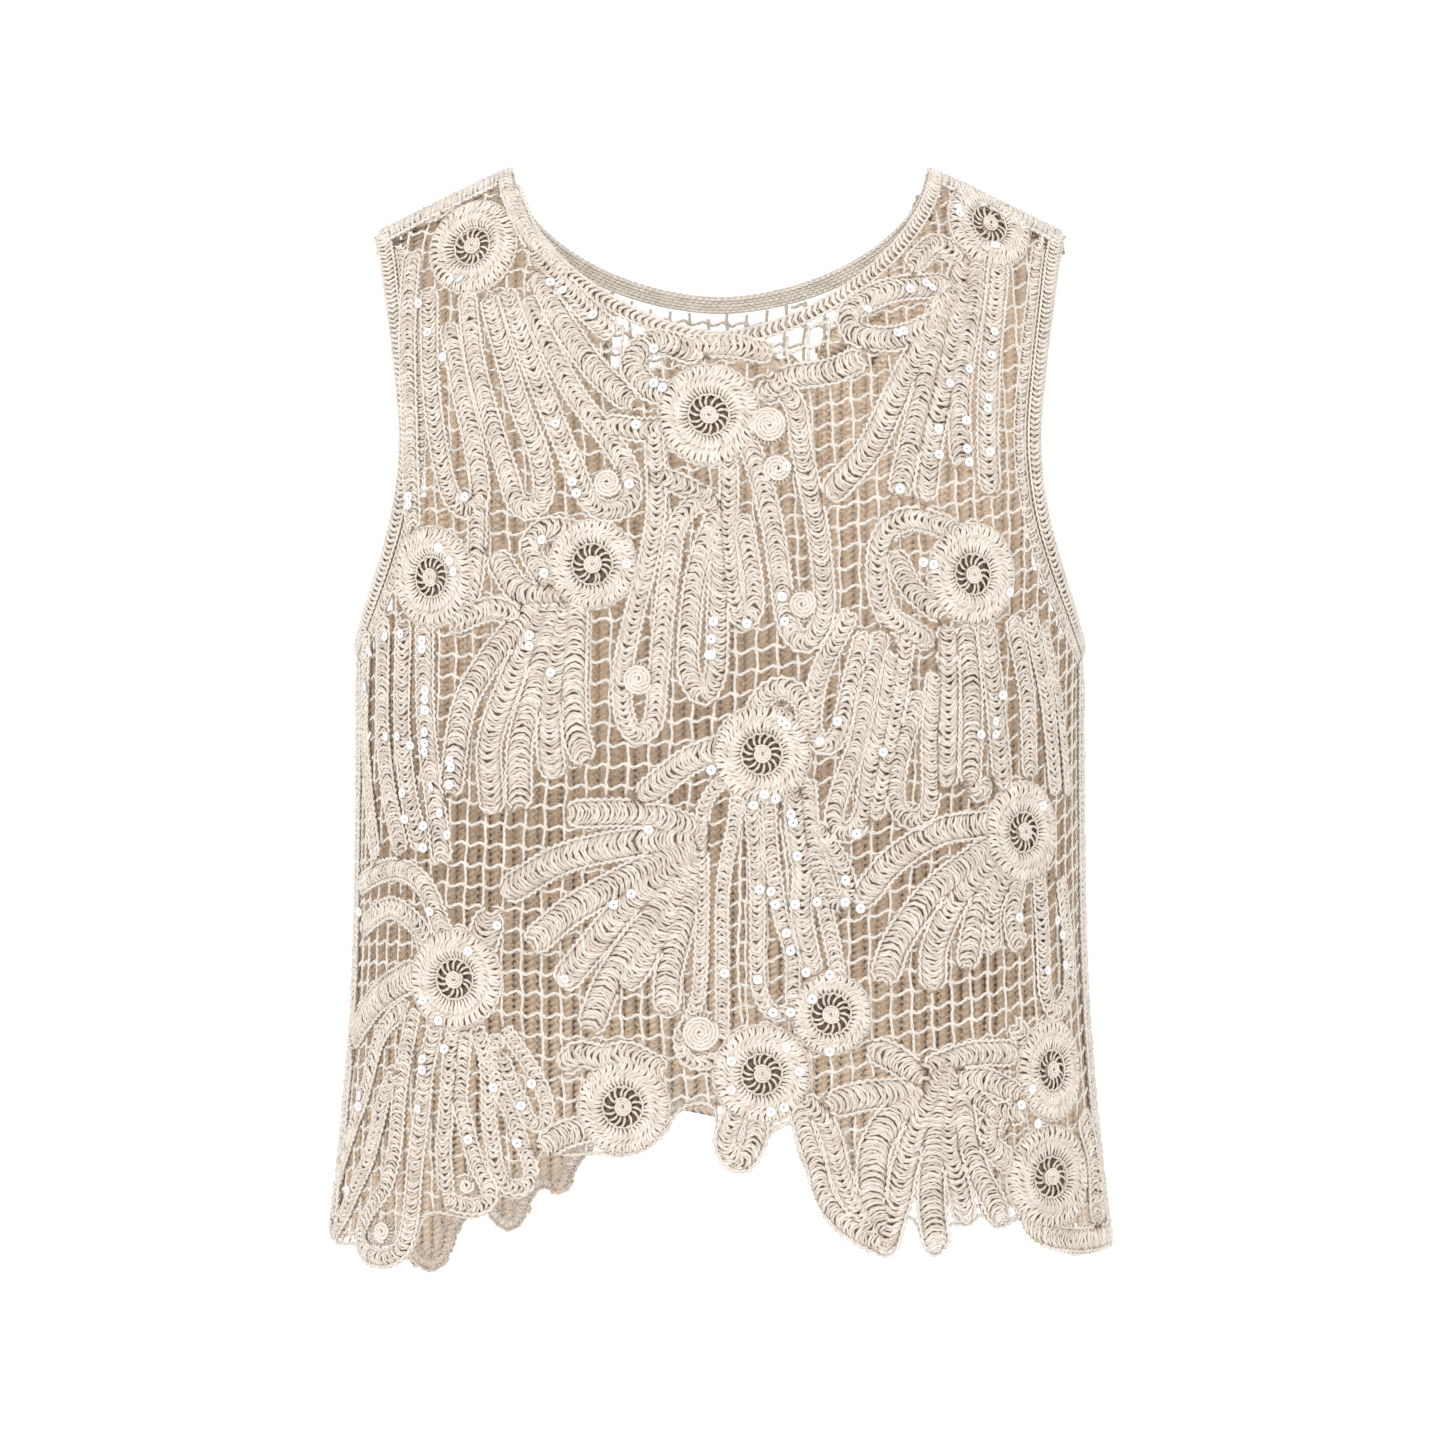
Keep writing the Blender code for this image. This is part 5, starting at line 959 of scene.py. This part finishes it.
hemWork = {"in": 0.10, "pitch": 0.17, "wave": 0.03, "yarn": 0.075, "off": -0.14}


def hemChain(chart, line, sides):
    # one wavy chain just inside the hem, where the cords' ends are not
    work = hemWork
    inner = leftOf(unit(np.gradient(line, axis=0)))
    c, t, _, _ = stationsOn(chart, line + inner * work["in"], work["pitch"], 0.0)
    rope = work["wave"] * np.where(np.arange(len(c)) % 2, 1, -1)
    flat = c + leftOf(t) * rope[:, None]
    return [layYarn(chart, flat, work["off"], work["yarn"], sides, 0.90, under=0.35)]


# rows of strands along the back's hem, each this far in; the ribs and bands stay clear of them
hemRows = {"in": (0.36, 0.98, 1.60), "width": 0.76, "clear": 1.5}


def hemScallops(panel):
    # edging rows that follow the back's hem, kept where a row is its own distance from it
    line, parts = panel["hem"], []
    inner = leftOf(unit(np.gradient(line, axis=0)))
    for depth in hemRows["in"]:
        row = line + depth * inner
        row = row[gapTo(row, line) > depth - 0.08]
        parts += bandRungs(panel["chart"], row, hemRows["width"], bandWork["scallop"], 3, 4, bed=0.95)
    return parts


# flat ground behind the yarn: depth and thickness of each kind of strip, and how far in its edge lies
groundWork = {"cord": -0.20, "step": 0.012, "cordIn": 0.10, "ring": -0.21, "ringIn": 0.05, "thick": 0.045,
              # the disc across each eye is a dark sheet painted as the shade seen through the eye
              "eye": -0.235, "eyeFrom": 0.30, "eyeMore": 0.12, "eyeShade": 0.05,
              "rosette": -0.17, "rosetteIn": 0.08, "rosetteThick": 0.05,
              "band": -0.27, "bandThick": 0.022, "bandMore": 0.06, "bandStep": 1.1}
# the back's bands and ribs stand between these places across and heights
backSpan = {"across": (-22.5, 22.6), "low": -53.2, "ribLow": -52.5, "ribMiddle": -32.0, "high": 1.2}


def groundStrips(panel, tone):
    # flat ground under each cord, wheel and rosette: a lens section carried along its centre, its tone a
    # painted shade seen between the strands
    work, chart = groundWork, panel["chart"]
    parts = []
    for index, (width, line) in enumerate(panel["cords"]):
        path = smoothPath(line, 0.7)
        path = path[withinHem(panel, path)]
        if len(path) < 2:
            continue
        half = np.full(len(path), width / 2 - work["cordIn"])
        half[[0, -1]] *= 0.5
        depth = work["cord"] - work["step"] * (index % 4)
        parts.append(layYarn(chart, path, depth, half, 4, tone, thick=work["thick"], under=0.0))
    for wheel in panel["wheels"]:
        # one ring under the strands, and across the eye a darker one, painted as the shade seen through it
        rings = ((lace["eye"], wheel[2] - work["ringIn"], work["ring"], tone),
                 (work["eyeFrom"], lace["eye"] + work["eyeMore"], work["eye"], work["eyeShade"]))
        for inner, outer, depth, shade in rings:
            flat = roundPoint(wheel, (outer + inner) / 2, turnShares(32))
            parts.append(layYarn(chart, flat, depth, (outer - inner) / 2, 6, shade, thick=work["thick"],
                                 closed=True, under=0.0))
    for rosette in panel["rosettes"]:
        m = (rosette[2] - work["rosetteIn"]) / 2 + 0.01
        flat = roundPoint(rosette, m, turnShares(16))
        parts.append(layYarn(chart, flat, work["rosette"], m - 0.01, 6, tone, thick=work["rosetteThick"],
                             closed=True, under=0.0))
    return parts


def underBands(panel, column, tone):
    # upright flat bands side by side that close the back behind its yarn work
    work, chart = groundWork, panel["chart"]
    low, reach = lace["backNet"]
    parts = []
    for s in np.arange(*backSpan["across"], column):
        z = np.arange(backSpan["low"], low + 0.3 if abs(s) < reach else backSpan["high"], 0.1)
        flat = np.stack([np.full(len(z), s), z], axis=1)
        show = insideOf(flat, panel["outline"]) & (np.abs(s) < seamAt(chart, z) - 0.15)
        show &= gapTo(flat, panel["hem"]) > 0.35 * hemRows["clear"]
        for run in shownRuns(show, 8):
            # few stations, the first and last right on the outline
            path = smoothPath(flat[run[[0, -1]]] + ((0, 0.06), (0, -0.06)), work["bandStep"])
            # the bands' tone, varied at random, reads through the back bed finish as warm painted shade
            shade = tone + draws.normal(0, 0.05, len(path))
            parts.append(layYarn(chart, path, work["band"], column / 2 + work["bandMore"], 4, shade,
                                 thick=work["bandThick"], under=0.0))
    return parts


# the ribs carry a painted highlight on top and, on the side turned to the body, strong painted warm shade
ribWork = {"column": 1.0, "pitch": 0.36, "yarn": 0.20, "flat": 0.11, "bow": 0.14, "lean": 0.08, "shake": 0.02,
           "wider": 0.10, "rest": -0.24, "rise": 0.05, "tone": 0.60, "topHighlight": 0.30, "under": 0.92,
           # free distance from the outline, from the hem's rows and from the side seams
           "outlineFree": 0.35, "rowsFree": 0.3, "seamFree": 0.5}


def backRibs(panel, stations, sides):
    # upright ribbed bands where the back has no raised work: strands in columns, one band beside the next
    chart, work = panel["chart"], ribWork
    low, reach = lace["backNet"]
    columns = []
    for s in np.arange(*backSpan["across"], work["column"]):
        top = low if abs(s) < reach else backSpan["high"]
        line = [(s, backSpan["ribLow"]), (s, backSpan["ribMiddle"]), (s, top)]
        columns.append(ladderFlat(chart, line, work["column"] + work["wider"], work, stations))
    flat, a = (np.concatenate(v) for v in zip(*columns))
    mid = flat.mean(axis=1)
    free = work["outlineFree"]
    keep = insideOf(mid, panel["outline"]) & (gapTo(mid, panel["loop"]) > free)
    keep &= clearOf(panel, mid) > -free
    keep &= gapTo(mid, panel["hem"]) > hemRows["clear"] + work["rowsFree"]
    keep &= np.abs(mid[:, 0]) < seamAt(chart, mid[:, 1]) - work["seamFree"]
    flat, a = flat[keep], a[keep]
    arch = np.sqrt(1 - (0.9 * a)**2)
    size = work["yarn"] * varied(len(flat), 0.06)
    # painted highlight on each strand's top; the side turned to the body takes the warm painted shade
    lift = (work["tone"] + work["topHighlight"] * arch) * varied(len(flat), 0.10)
    return [layYarn(chart, flat, work["rest"] + work["rise"] * arch, size, sides, lift, thick=work["flat"],
                    under=work["under"])]


sequinWork = {
    "radius": 0.225, "hole": 0.045, "thick": 0.03, "cup": 0.035, "stand": 0.16,
    "tip": 0.16, "sides": 12,
    "places": [
        (-13, -5.8), (-12.5, -5.7), (-14.7, -6.8), (-14.1, -8.2), (-13.2, -9.4), (-7.9, -6),
        (-7.3, -6.4), (-5.8, -7.6), (-3, -9.2), (-3, -10.8), (-2.6, -11), (-7.5, -12.6), (-3.8, -12.7),
        (-6.7, -15.3), (-6.5, -15.8), (-4.1, -15.4), (-15.1, -15.8), (-15.1, -16.2), (-11.9, -15.9),
        (3, -14.6), (6.8, -7.3), (8.9, -6.3), (9.7, -6), (10, -6.2), (8.2, -15.6), (8.2, -8.4),
        (8.5, -8.3), (13.1, -8.2), (12.9, -9.3), (11.7, -10), (12.7, -11.3), (12.6, -11.8),
        (10.7, -10.7), (11.5, -12.4), (10.1, -12.8), (11.5, -13.7), (11.6, -14.3), (10.1, -14),
        (12.7, -13.8), (13.5, -4), (12.9, -4.2), (11.8, -2.2), (11.8, -2.5), (-13.3, -18.2),
        (-12.7, -18.8), (-12.5, -19.3), (-8.1, -17.9), (-8, -19.4), (-18.4, -22.9), (-16.9, -22.2),
        (-15.7, -22.1), (-14.3, -22.4), (-14.3, -22.8), (-8.7, -22.2), (-8.7, -22.7), (-7.7, -23.9),
        (-19, -24.5), (-14.1, -24.7), (-14.1, -25.1), (-14.1, -25.6), (-18.4, -26.8), (-16.8, -26.8),
        (-15.9, -26.8), (-15, -27.2), (-14.1, -26.6), (-14.1, -27.1), (-14.1, -27.5), (-12.7, -27.9),
        (-12.6, -28.2), (-12.7, -29), (-15.5, -29.4), (-13.7, -29.1), (-15.3, -30.6), (-13.2, -30.3),
        (-14.1, -30.9), (-14.1, -31.9), (-12.8, -31.3), (-4.2, -19), (-0.3, -21.6), (-0.4, -22.4),
        (-0.4, -23.1), (2.8, -20.5), (2.9, -21.6), (1.2, -21.7), (-0.5, -23.1), (9.3, -18.9),
        (9.8, -19), (13.8, -20.2), (3, -26.3), (2.8, -26.1), (5.3, -26.1), (4.5, -27), (7.4, -27.5),
        (13, -26.1), (13, -26.7), (12.2, -26.7), (1.5, -29.9), (2, -29.4), (2.5, -29.6), (3.2, -30.3),
        (3.3, -30.7), (3.5, -32.2), (6.2, -31.2), (15.9, -30), (13.4, -24.9), (-0.4, -28.3),
        (-19.5, -35), (-10.3, -35.4), (-13.7, -34.8), (-11.7, -36.6), (-14, -38.9), (-13.2, -39.8),
        (-12.9, -41.1), (-14, -41.6), (-14, -42.1), (-14.2, -43.9), (-18.5, -43.5), (-18.5, -44),
        (-19.2, -47.9), (-11.7, -45.2), (-9.4, -45.3), (-8.7, -42.6), (-10.5, -42.8), (-9.2, -43.6),
        (-7.1, -37.8), (-4, -33.9), (-4.8, -34.4), (-3.2, -31), (5.7, -33.3), (5.7, -34.3),
        (1.8, -33.7), (2.3, -33.8), (2.5, -34.4), (3, -35.7), (3.2, -36.5), (3.4, -34.4), (4.4, -34.3),
        (3.9, -37.5), (5, -37.6), (0.2, -37.5), (1.7, -37.8), (2.4, -39.3), (3.2, -39.3), (4.2, -38.7),
        (0.5, -41.5), (3, -40.9), (0.5, -42.8), (3.6, -42), (2.3, -43.8), (2.9, -43.6), (14.3, -35.1),
        (16.9, -35.3), (17.3, -36), (16.1, -37.6), (17.5, -37.4), (14.9, -43), (15.2, -44.6),
        (14.2, -43.7), (5, -41.1), (6.4, -34.6),
    ],
}


def sequinDiscs(panel):
    # small cupped rings laid on the raised cords, each tipped its own way
    work, sides = sequinWork, sequinWork["sides"]
    flat = np.array(work["places"], float)
    centre, up = onCloth(panel["chart"], flat, work["stand"])
    up = unit(up + draws.normal(0, work["tip"], up.shape))
    side = unit(np.cross(up, np.array([0.0, 0.0, 1.0])))
    rise = np.cross(side, up)
    # profile round the ring: hole edge, outer edge, under the outer edge, under the hole edge
    radius = np.array([work["hole"], 0.6 * work["radius"], work["radius"], work["radius"], work["hole"]])
    height = np.array([0.0, 0.25 * work["cup"], work["cup"], work["cup"] - work["thick"], -work["thick"]])
    a = turnShares(sides)
    across, along = ((radius[:, None] * v)[None, ..., None] for v in (np.cos(a), np.sin(a)))
    ring = (centre[:, None, None] + across * side[:, None, None] + along * rise[:, None, None]
            + np.broadcast_to(height[:, None], (5, sides))[None, ..., None] * up[:, None, None])
    quads = ringQuads(len(flat), 5, sides, True)
    # each disc's painted sheen tint, chosen at random
    tone = np.repeat(draws.uniform(0.0, 1.0, len(flat)), 5 * sides)
    return {"points": ring.reshape(-1, 3), "faces": [(quads, np.zeros((len(quads), 4, 2)))], "lift": tone}


def newFinish(name, values):
    # a plain finish with these values on its shader's own sockets
    mat = bpy.data.materials.new(name)
    mat.use_nodes = True
    shader = mat.node_tree.nodes["Principled BSDF"]
    for socket, value in values.items():
        shader.inputs[socket].default_value = value
    return mat, shader


def addNode(mat, kind, inputs=(), **settings):
    # one more node, with its settings and the values of its inputs
    node = mat.node_tree.nodes.new("ShaderNode" + kind)
    for name, value in settings.items():
        setattr(node, name, value)
    for name, value in dict(inputs).items():
        node.inputs[name].default_value = value
    return node


def liftRamp(mat, places, colours):
    # colour read from the mesh's own lift value: painted light and shade on the yarn, a painted sheen tint on
    # the sequins
    lift = addNode(mat, "Attribute", attribute_name="lift")
    ramp = addNode(mat, "ValToRGB")
    elements = ramp.color_ramp.elements
    elements[0].position, elements[1].position = places[0], places[2]
    elements[0].color, elements[1].color = colours[0] + (1,), colours[2] + (1,)
    elements.new(places[1]).color = colours[1] + (1,)
    mat.node_tree.links.new(lift.outputs["Fac"], ramp.inputs["Fac"])
    return ramp.outputs["Color"]


# ramp colours: deep is the painted shade, high the painted highlight; the groove value darkens the ply
# grooves as painted shade
yarnLook = {
    "deep": (0.24, 0.17, 0.11), "middle": (0.70, 0.58, 0.46), "high": (0.98, 0.90, 0.815),
    "places": (0.10, 0.50, 0.92), "rough": 0.86, "gloss": 0.25, "sheen": 0.12, "sheenRough": 0.5,
    "mottle": 130.0, "mottleTone": (0.88, 1.06), "plies": 2.0, "twist": 3.2, "grooveShade": 0.80,
    "bump": 0.6, "bumpDepth": 0.0007,
}


def yarnFinish(name, look):
    # painted light and shade from the lift value, a soft mottle, the twist of the plies as bump, and painted
    # shade in the grooves between plies
    mat, shader = newFinish(name, {"Roughness": look["rough"], "Specular IOR Level": look["gloss"],
                                   "Sheen Weight": look["sheen"], "Sheen Roughness": look["sheenRough"]})
    link = mat.node_tree.links.new
    colour = liftRamp(mat, look["places"], (look["deep"], look["middle"], look["high"]))
    place = addNode(mat, "TexCoord")
    mottle = addNode(mat, "TexNoise", {"Scale": look["mottle"], "Detail": 3.0})
    link(place.outputs["Object"], mottle.inputs["Vector"])
    dull, bright = look["mottleTone"]
    shades = addNode(mat, "MapRange", {"From Min": 0.3, "From Max": 0.7, "To Min": dull, "To Max": bright})
    link(mottle.outputs["Fac"], shades.inputs["Value"])
    tone = addNode(mat, "VectorMath", operation="SCALE")
    link(colour, tone.inputs[0])
    link(shades.outputs["Result"], tone.inputs["Scale"])
    # the plies: sine of twist times the length along plus plies times the turn round
    way = addNode(mat, "UVMap", uv_map="yarnWay")
    split = addNode(mat, "SeparateXYZ")
    link(way.outputs["UV"], split.inputs["Vector"])
    along = addNode(mat, "Math", {1: look["twist"] * 2 * np.pi}, operation="MULTIPLY")
    link(split.outputs["X"], along.inputs[0])
    around = addNode(mat, "Math", {1: look["plies"] * 2 * np.pi}, operation="MULTIPLY_ADD")
    link(split.outputs["Y"], around.inputs[0])
    link(along.outputs["Value"], around.inputs[2])
    wave = addNode(mat, "Math", operation="SINE")
    link(around.outputs["Value"], wave.inputs[0])
    bump = addNode(mat, "Bump", {"Strength": look["bump"], "Distance": look["bumpDepth"]})
    link(wave.outputs["Value"], bump.inputs["Height"])
    link(bump.outputs["Normal"], shader.inputs["Normal"])
    # painted shade in the grooves between the plies
    grooveShade = addNode(mat, "MapRange", {"From Min": -1.0, "From Max": -0.3, "To Min": look["grooveShade"],
                                       "To Max": 1.0})
    link(wave.outputs["Value"], grooveShade.inputs["Value"])
    full = addNode(mat, "VectorMath", operation="SCALE")
    link(tone.outputs["Vector"], full.inputs[0])
    link(grooveShade.outputs["Result"], full.inputs["Scale"])
    link(full.outputs["Vector"], shader.inputs["Base Color"])
    return mat


yarn = yarnFinish("creamYarn", yarnLook)
# yarn for the shoulder tops, painted paler as the top light falling there
topLitYarn = yarnFinish("topLitYarn", dict(yarnLook, middle=(0.72, 0.63, 0.53), high=(0.98, 0.915, 0.84),
                                       grooveShade=0.85))
# the ground between strands is painted darker as the shade of the crevices
ground = yarnFinish("shadedGround", dict(yarnLook, deep=(0.25, 0.17, 0.11), middle=(0.70, 0.56, 0.43),
                                         high=(0.85, 0.74, 0.61)))
# painted lighter, with little groove shade, to offset the shade inside the back's neck
litInnerYarn = yarnFinish("litInnerYarn", dict(yarnLook, high=(0.98, 0.91, 0.82), grooveShade=0.94))
# painted warm shade: the side turned to the body is painted a warm tan in place of the shade inside the top
backYarn = yarnFinish("backYarn", dict(yarnLook, deep=(0.92, 0.72, 0.53), middle=(0.80, 0.67, 0.53)))
# the back's beds and bands carry the same painted warm shade
backBed = yarnFinish("backGround", dict(yarnLook, deep=(0.62, 0.48, 0.35), middle=(0.90, 0.71, 0.53),
                                        high=(0.98, 0.87, 0.74), grooveShade=0.86))
# clear white disc with a faint pink or blue tint from one disc to the next, painted in place of its shifting
# sheen
sequinFinish, shader = newFinish("whiteSequin", {"Roughness": 0.16, "Specular IOR Level": 0.8,
                                                 "Coat Weight": 0.5, "Coat Roughness": 0.08})
tint = liftRamp(sequinFinish, (0.0, 0.5, 1.0), ((0.93, 0.91, 0.88), (0.97, 0.93, 0.96), (0.90, 0.95, 0.97)))
sequinFinish.node_tree.links.new(tint, shader.inputs["Base Color"])

front, back = makePanel(-1, cordWork, wheelWork), makePanel(1, backCordWork, backWheelWork)
print("charts ready")

# front yarn work, parted at the middle so that each piece stays light
rungs = cordRungs(front, 6)
leftHalf = rungs[0][:, :, 0].mean(axis=1) < 0
frontPieces = [
    joinParts("front_cords_left", cordYarn(front, rungs, leftHalf, 4, 4), yarn),
    joinParts("front_cords_right", cordYarn(front, rungs, ~leftHalf, 4, 4), yarn),
    joinParts("front_cord_edges", cordEdges(front, 4), yarn),
    joinParts("front_wheels", wheelRing(front, 7, 5), yarn),
    joinParts("front_wheel_trim", wheelTrim(front, 4) + rosetteCoils(front, 5), yarn),
    joinParts("front_net", netRuns(front, 0.0, -60.0, 24.0, 4) + singleRuns(front, lace["singles"], 5), yarn),
]
frontGround = joinParts("front_ground", groundStrips(front, 0.55), ground)

rungs = cordRungs(back, 4)
backPieces = [
    joinParts("back_cords", cordYarn(back, rungs, np.ones(len(rungs[0]), bool), 4, 3), backYarn),
    joinParts("back_cord_edges", cordEdges(back, 3), backYarn),
    joinParts("back_wheels", wheelRing(back, 5, 4) + wheelTrim(back, 4) + rosetteCoils(back, 4), backYarn),
    joinParts("back_net", netRuns(back, 1.0, *lace["backNet"], 4), backYarn),
    joinParts("back_ribs", backRibs(back, 3, 4), backYarn),
    joinParts("back_motif_beds", groundStrips(back, 0.6), backBed),
]
backGround = joinParts("back_ground", underBands(back, 0.6, 0.55), backBed)

# widths of the narrow edgings, and how far each lies from the line that it follows
trimWork = {"strip": 0.78, "stripIn": 0.42, "seam": 0.60, "seamIn": 0.30,
            "ridge": 1.7, "ridgeIn": (0.45, 0.25),
            # the beds' painted tones: the front neck bed dark as the shade in its slits, the back neck bed
            # and the shoulder ridges painted light, the strips between
            "frontBed": 0.34, "backBed": 0.85, "stripBed": 0.6, "ridgeBed": 0.9}
# level yarns on the wrong side of the back's neck band
innerWork = {"places": (0.10, 0.24, 0.38, 0.52, 0.66), "off": -0.245, "shake": 0.012,
             "yarn": 0.088, "thick": 0.04}

neckParts, leftArm, rightArm, trimParts, ridgeParts = [], [], [], [], []
for panel in (front, back):
    chart, isFront = panel["chart"], panel["side"] < 0
    neckParts += bandRungs(chart, neckLine(chart, lace["neckBand"] / 2), lace["neckBand"], bandWork["neck"],
                           5, 4, -panel["side"], trimWork["frontBed" if isFront else "backBed"])
    arm, inward = panel["arm"]
    middle = arm + inward * (lace["armBand"] / 2)
    rightArm += bandRungs(chart, middle, lace["armBand"], bandWork["arm"], 5, 4)
    leftArm += bandRungs(chart, middle * (-1, 1), lace["armBand"], bandWork["arm"], 5, 4)
    if isFront:
        trimParts += hemChain(chart, panel["hem"], 4)
        # a plain low strip beside each armhole band
        strip = arm + inward * (lace["armBand"] + trimWork["stripIn"])
        for sign in (1, -1):
            trimParts += bandRungs(chart, strip[3:-2] * (sign, 1), trimWork["strip"], bandWork["strip"],
                                   4, 4, bed=trimWork["stripBed"])
    else:
        scallops = hemScallops(panel)
    z = np.linspace(wornForm["sideLow"] + 0.3, lace["armLow"] - lace["armBand"] - 0.1, 60)
    for sign in (1, -1):
        seam = np.stack([sign * (seamAt(chart, z) - trimWork["seamIn"]), z], axis=1)
        trimParts += bandRungs(chart, seam, trimWork["seam"], bandWork["seam"], 4, 4)
    if isFront:
        near, far = trimWork["ridgeIn"]
        x = np.linspace(lace["neckHalf"] + near, lace["armTop"] - far, 24)
        for sign in (1, -1):
            ridge = flatFrom(chart, np.stack([sign * x, ridgeHeight(x)], axis=1))
            ridgeParts += bandRungs(chart, ridge, trimWork["ridge"], bandWork["ridge"], 5, 4,
                                    bed=trimWork["ridgeBed"])
innerParts = []
for place in innerWork["places"]:
    line = smoothPath(neckLine(back["chart"], place), 0.5)
    off = innerWork["off"] + draws.normal(0, innerWork["shake"], len(line))
    # painted at full light, with no underside shade
    innerParts.append(layYarn(back["chart"], line, off, innerWork["yarn"], 4, 1.0, thick=innerWork["thick"],
                              under=0.0))
backPieces.append(joinParts("back_hem_edging", scallops, backYarn))
neckBand = joinParts("neck_edging", neckParts, yarn)
leftBand = joinParts("armhole_edging_left", leftArm, yarn)
rightBand = joinParts("armhole_edging_right", rightArm, yarn)
frontTrim = [
    joinParts("hem_and_seam_edging", trimParts, yarn),
    joinParts("shoulder_seams", ridgeParts, topLitYarn),
    joinParts("inner_neck_yarns", innerParts, litInnerYarn),
    joinParts("front_sequins", [sequinDiscs(front)], sequinFinish),
]
print("yarn work ready")

for piece in (frontPieces[0], frontGround):
    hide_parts("front_panel")
for piece in (backPieces[0], backGround):
    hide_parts("back_panel")
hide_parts("neck_band")
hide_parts("armhole_band_left")
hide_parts("armhole_band_right")


# in metres; the floor lies well below the hanging top
studio = {"distance": 2.6, "height": -0.2605, "frame": 0.68, "sensor": 36.0, "floor": -0.90,
          "floorHalf": 12.0, "key": 17.0, "fill": 6.0, "sky": 1.10}


def placed(name, data):
    # a new object that carries this data
    thing = bpy.data.objects.new(name, data)
    bpy.context.scene.collection.objects.link(thing)
    return thing


def layFloor():
    # one plain square
    mesh = bpy.data.meshes.new("studio_floor")
    r, z = studio["floorHalf"], studio["floor"]
    mesh.from_pydata([(-r, -r, z), (r, -r, z), (r, r, z), (-r, r, z)], [], [(0, 1, 2, 3)])
    finish = newFinish("paleFloor", {"Base Color": (0.97, 0.97, 0.97, 1), "Roughness": 0.9})[0]
    mesh.materials.append(finish)
    placed("studio_floor", mesh)


def softBox(name, place, target, size, power):
    # square area light turned towards a point
    data = bpy.data.lights.new(name, "AREA")
    data.size, data.energy = size, power
    lamp = placed(name, data)
    lamp.location = place
    lamp.rotation_euler = (Vector(target) - Vector(place)).to_track_quat("-Z", "Y").to_euler()


layFloor()
softBox("keyBox", (-1.1, -1.9, 1.1), (0, 0, -0.25), 1.2, studio["key"])
softBox("fillBox", (1.5, -1.8, 0.2), (0, 0, -0.3), 1.4, studio["fill"])
sky = bpy.data.worlds.new("paleSky")
sky.use_nodes = True
sky.node_tree.nodes["Background"].inputs["Color"].default_value = (1.0, 1.0, 1.0, 1)
sky.node_tree.nodes["Background"].inputs["Strength"].default_value = studio["sky"]
bpy.context.scene.world = sky
bpy.context.scene.view_settings.view_transform = "Standard"

lens = bpy.data.cameras.new("camera")
lens.sensor_width = studio["sensor"]
lens.lens = studio["sensor"] * studio["distance"] / studio["frame"]
camera = placed("camera", lens)
camera.location = (0, -studio["distance"], studio["height"])
camera.rotation_euler = (np.pi / 2, 0, 0)
bpy.context.scene.camera = camera
print("stage ready")
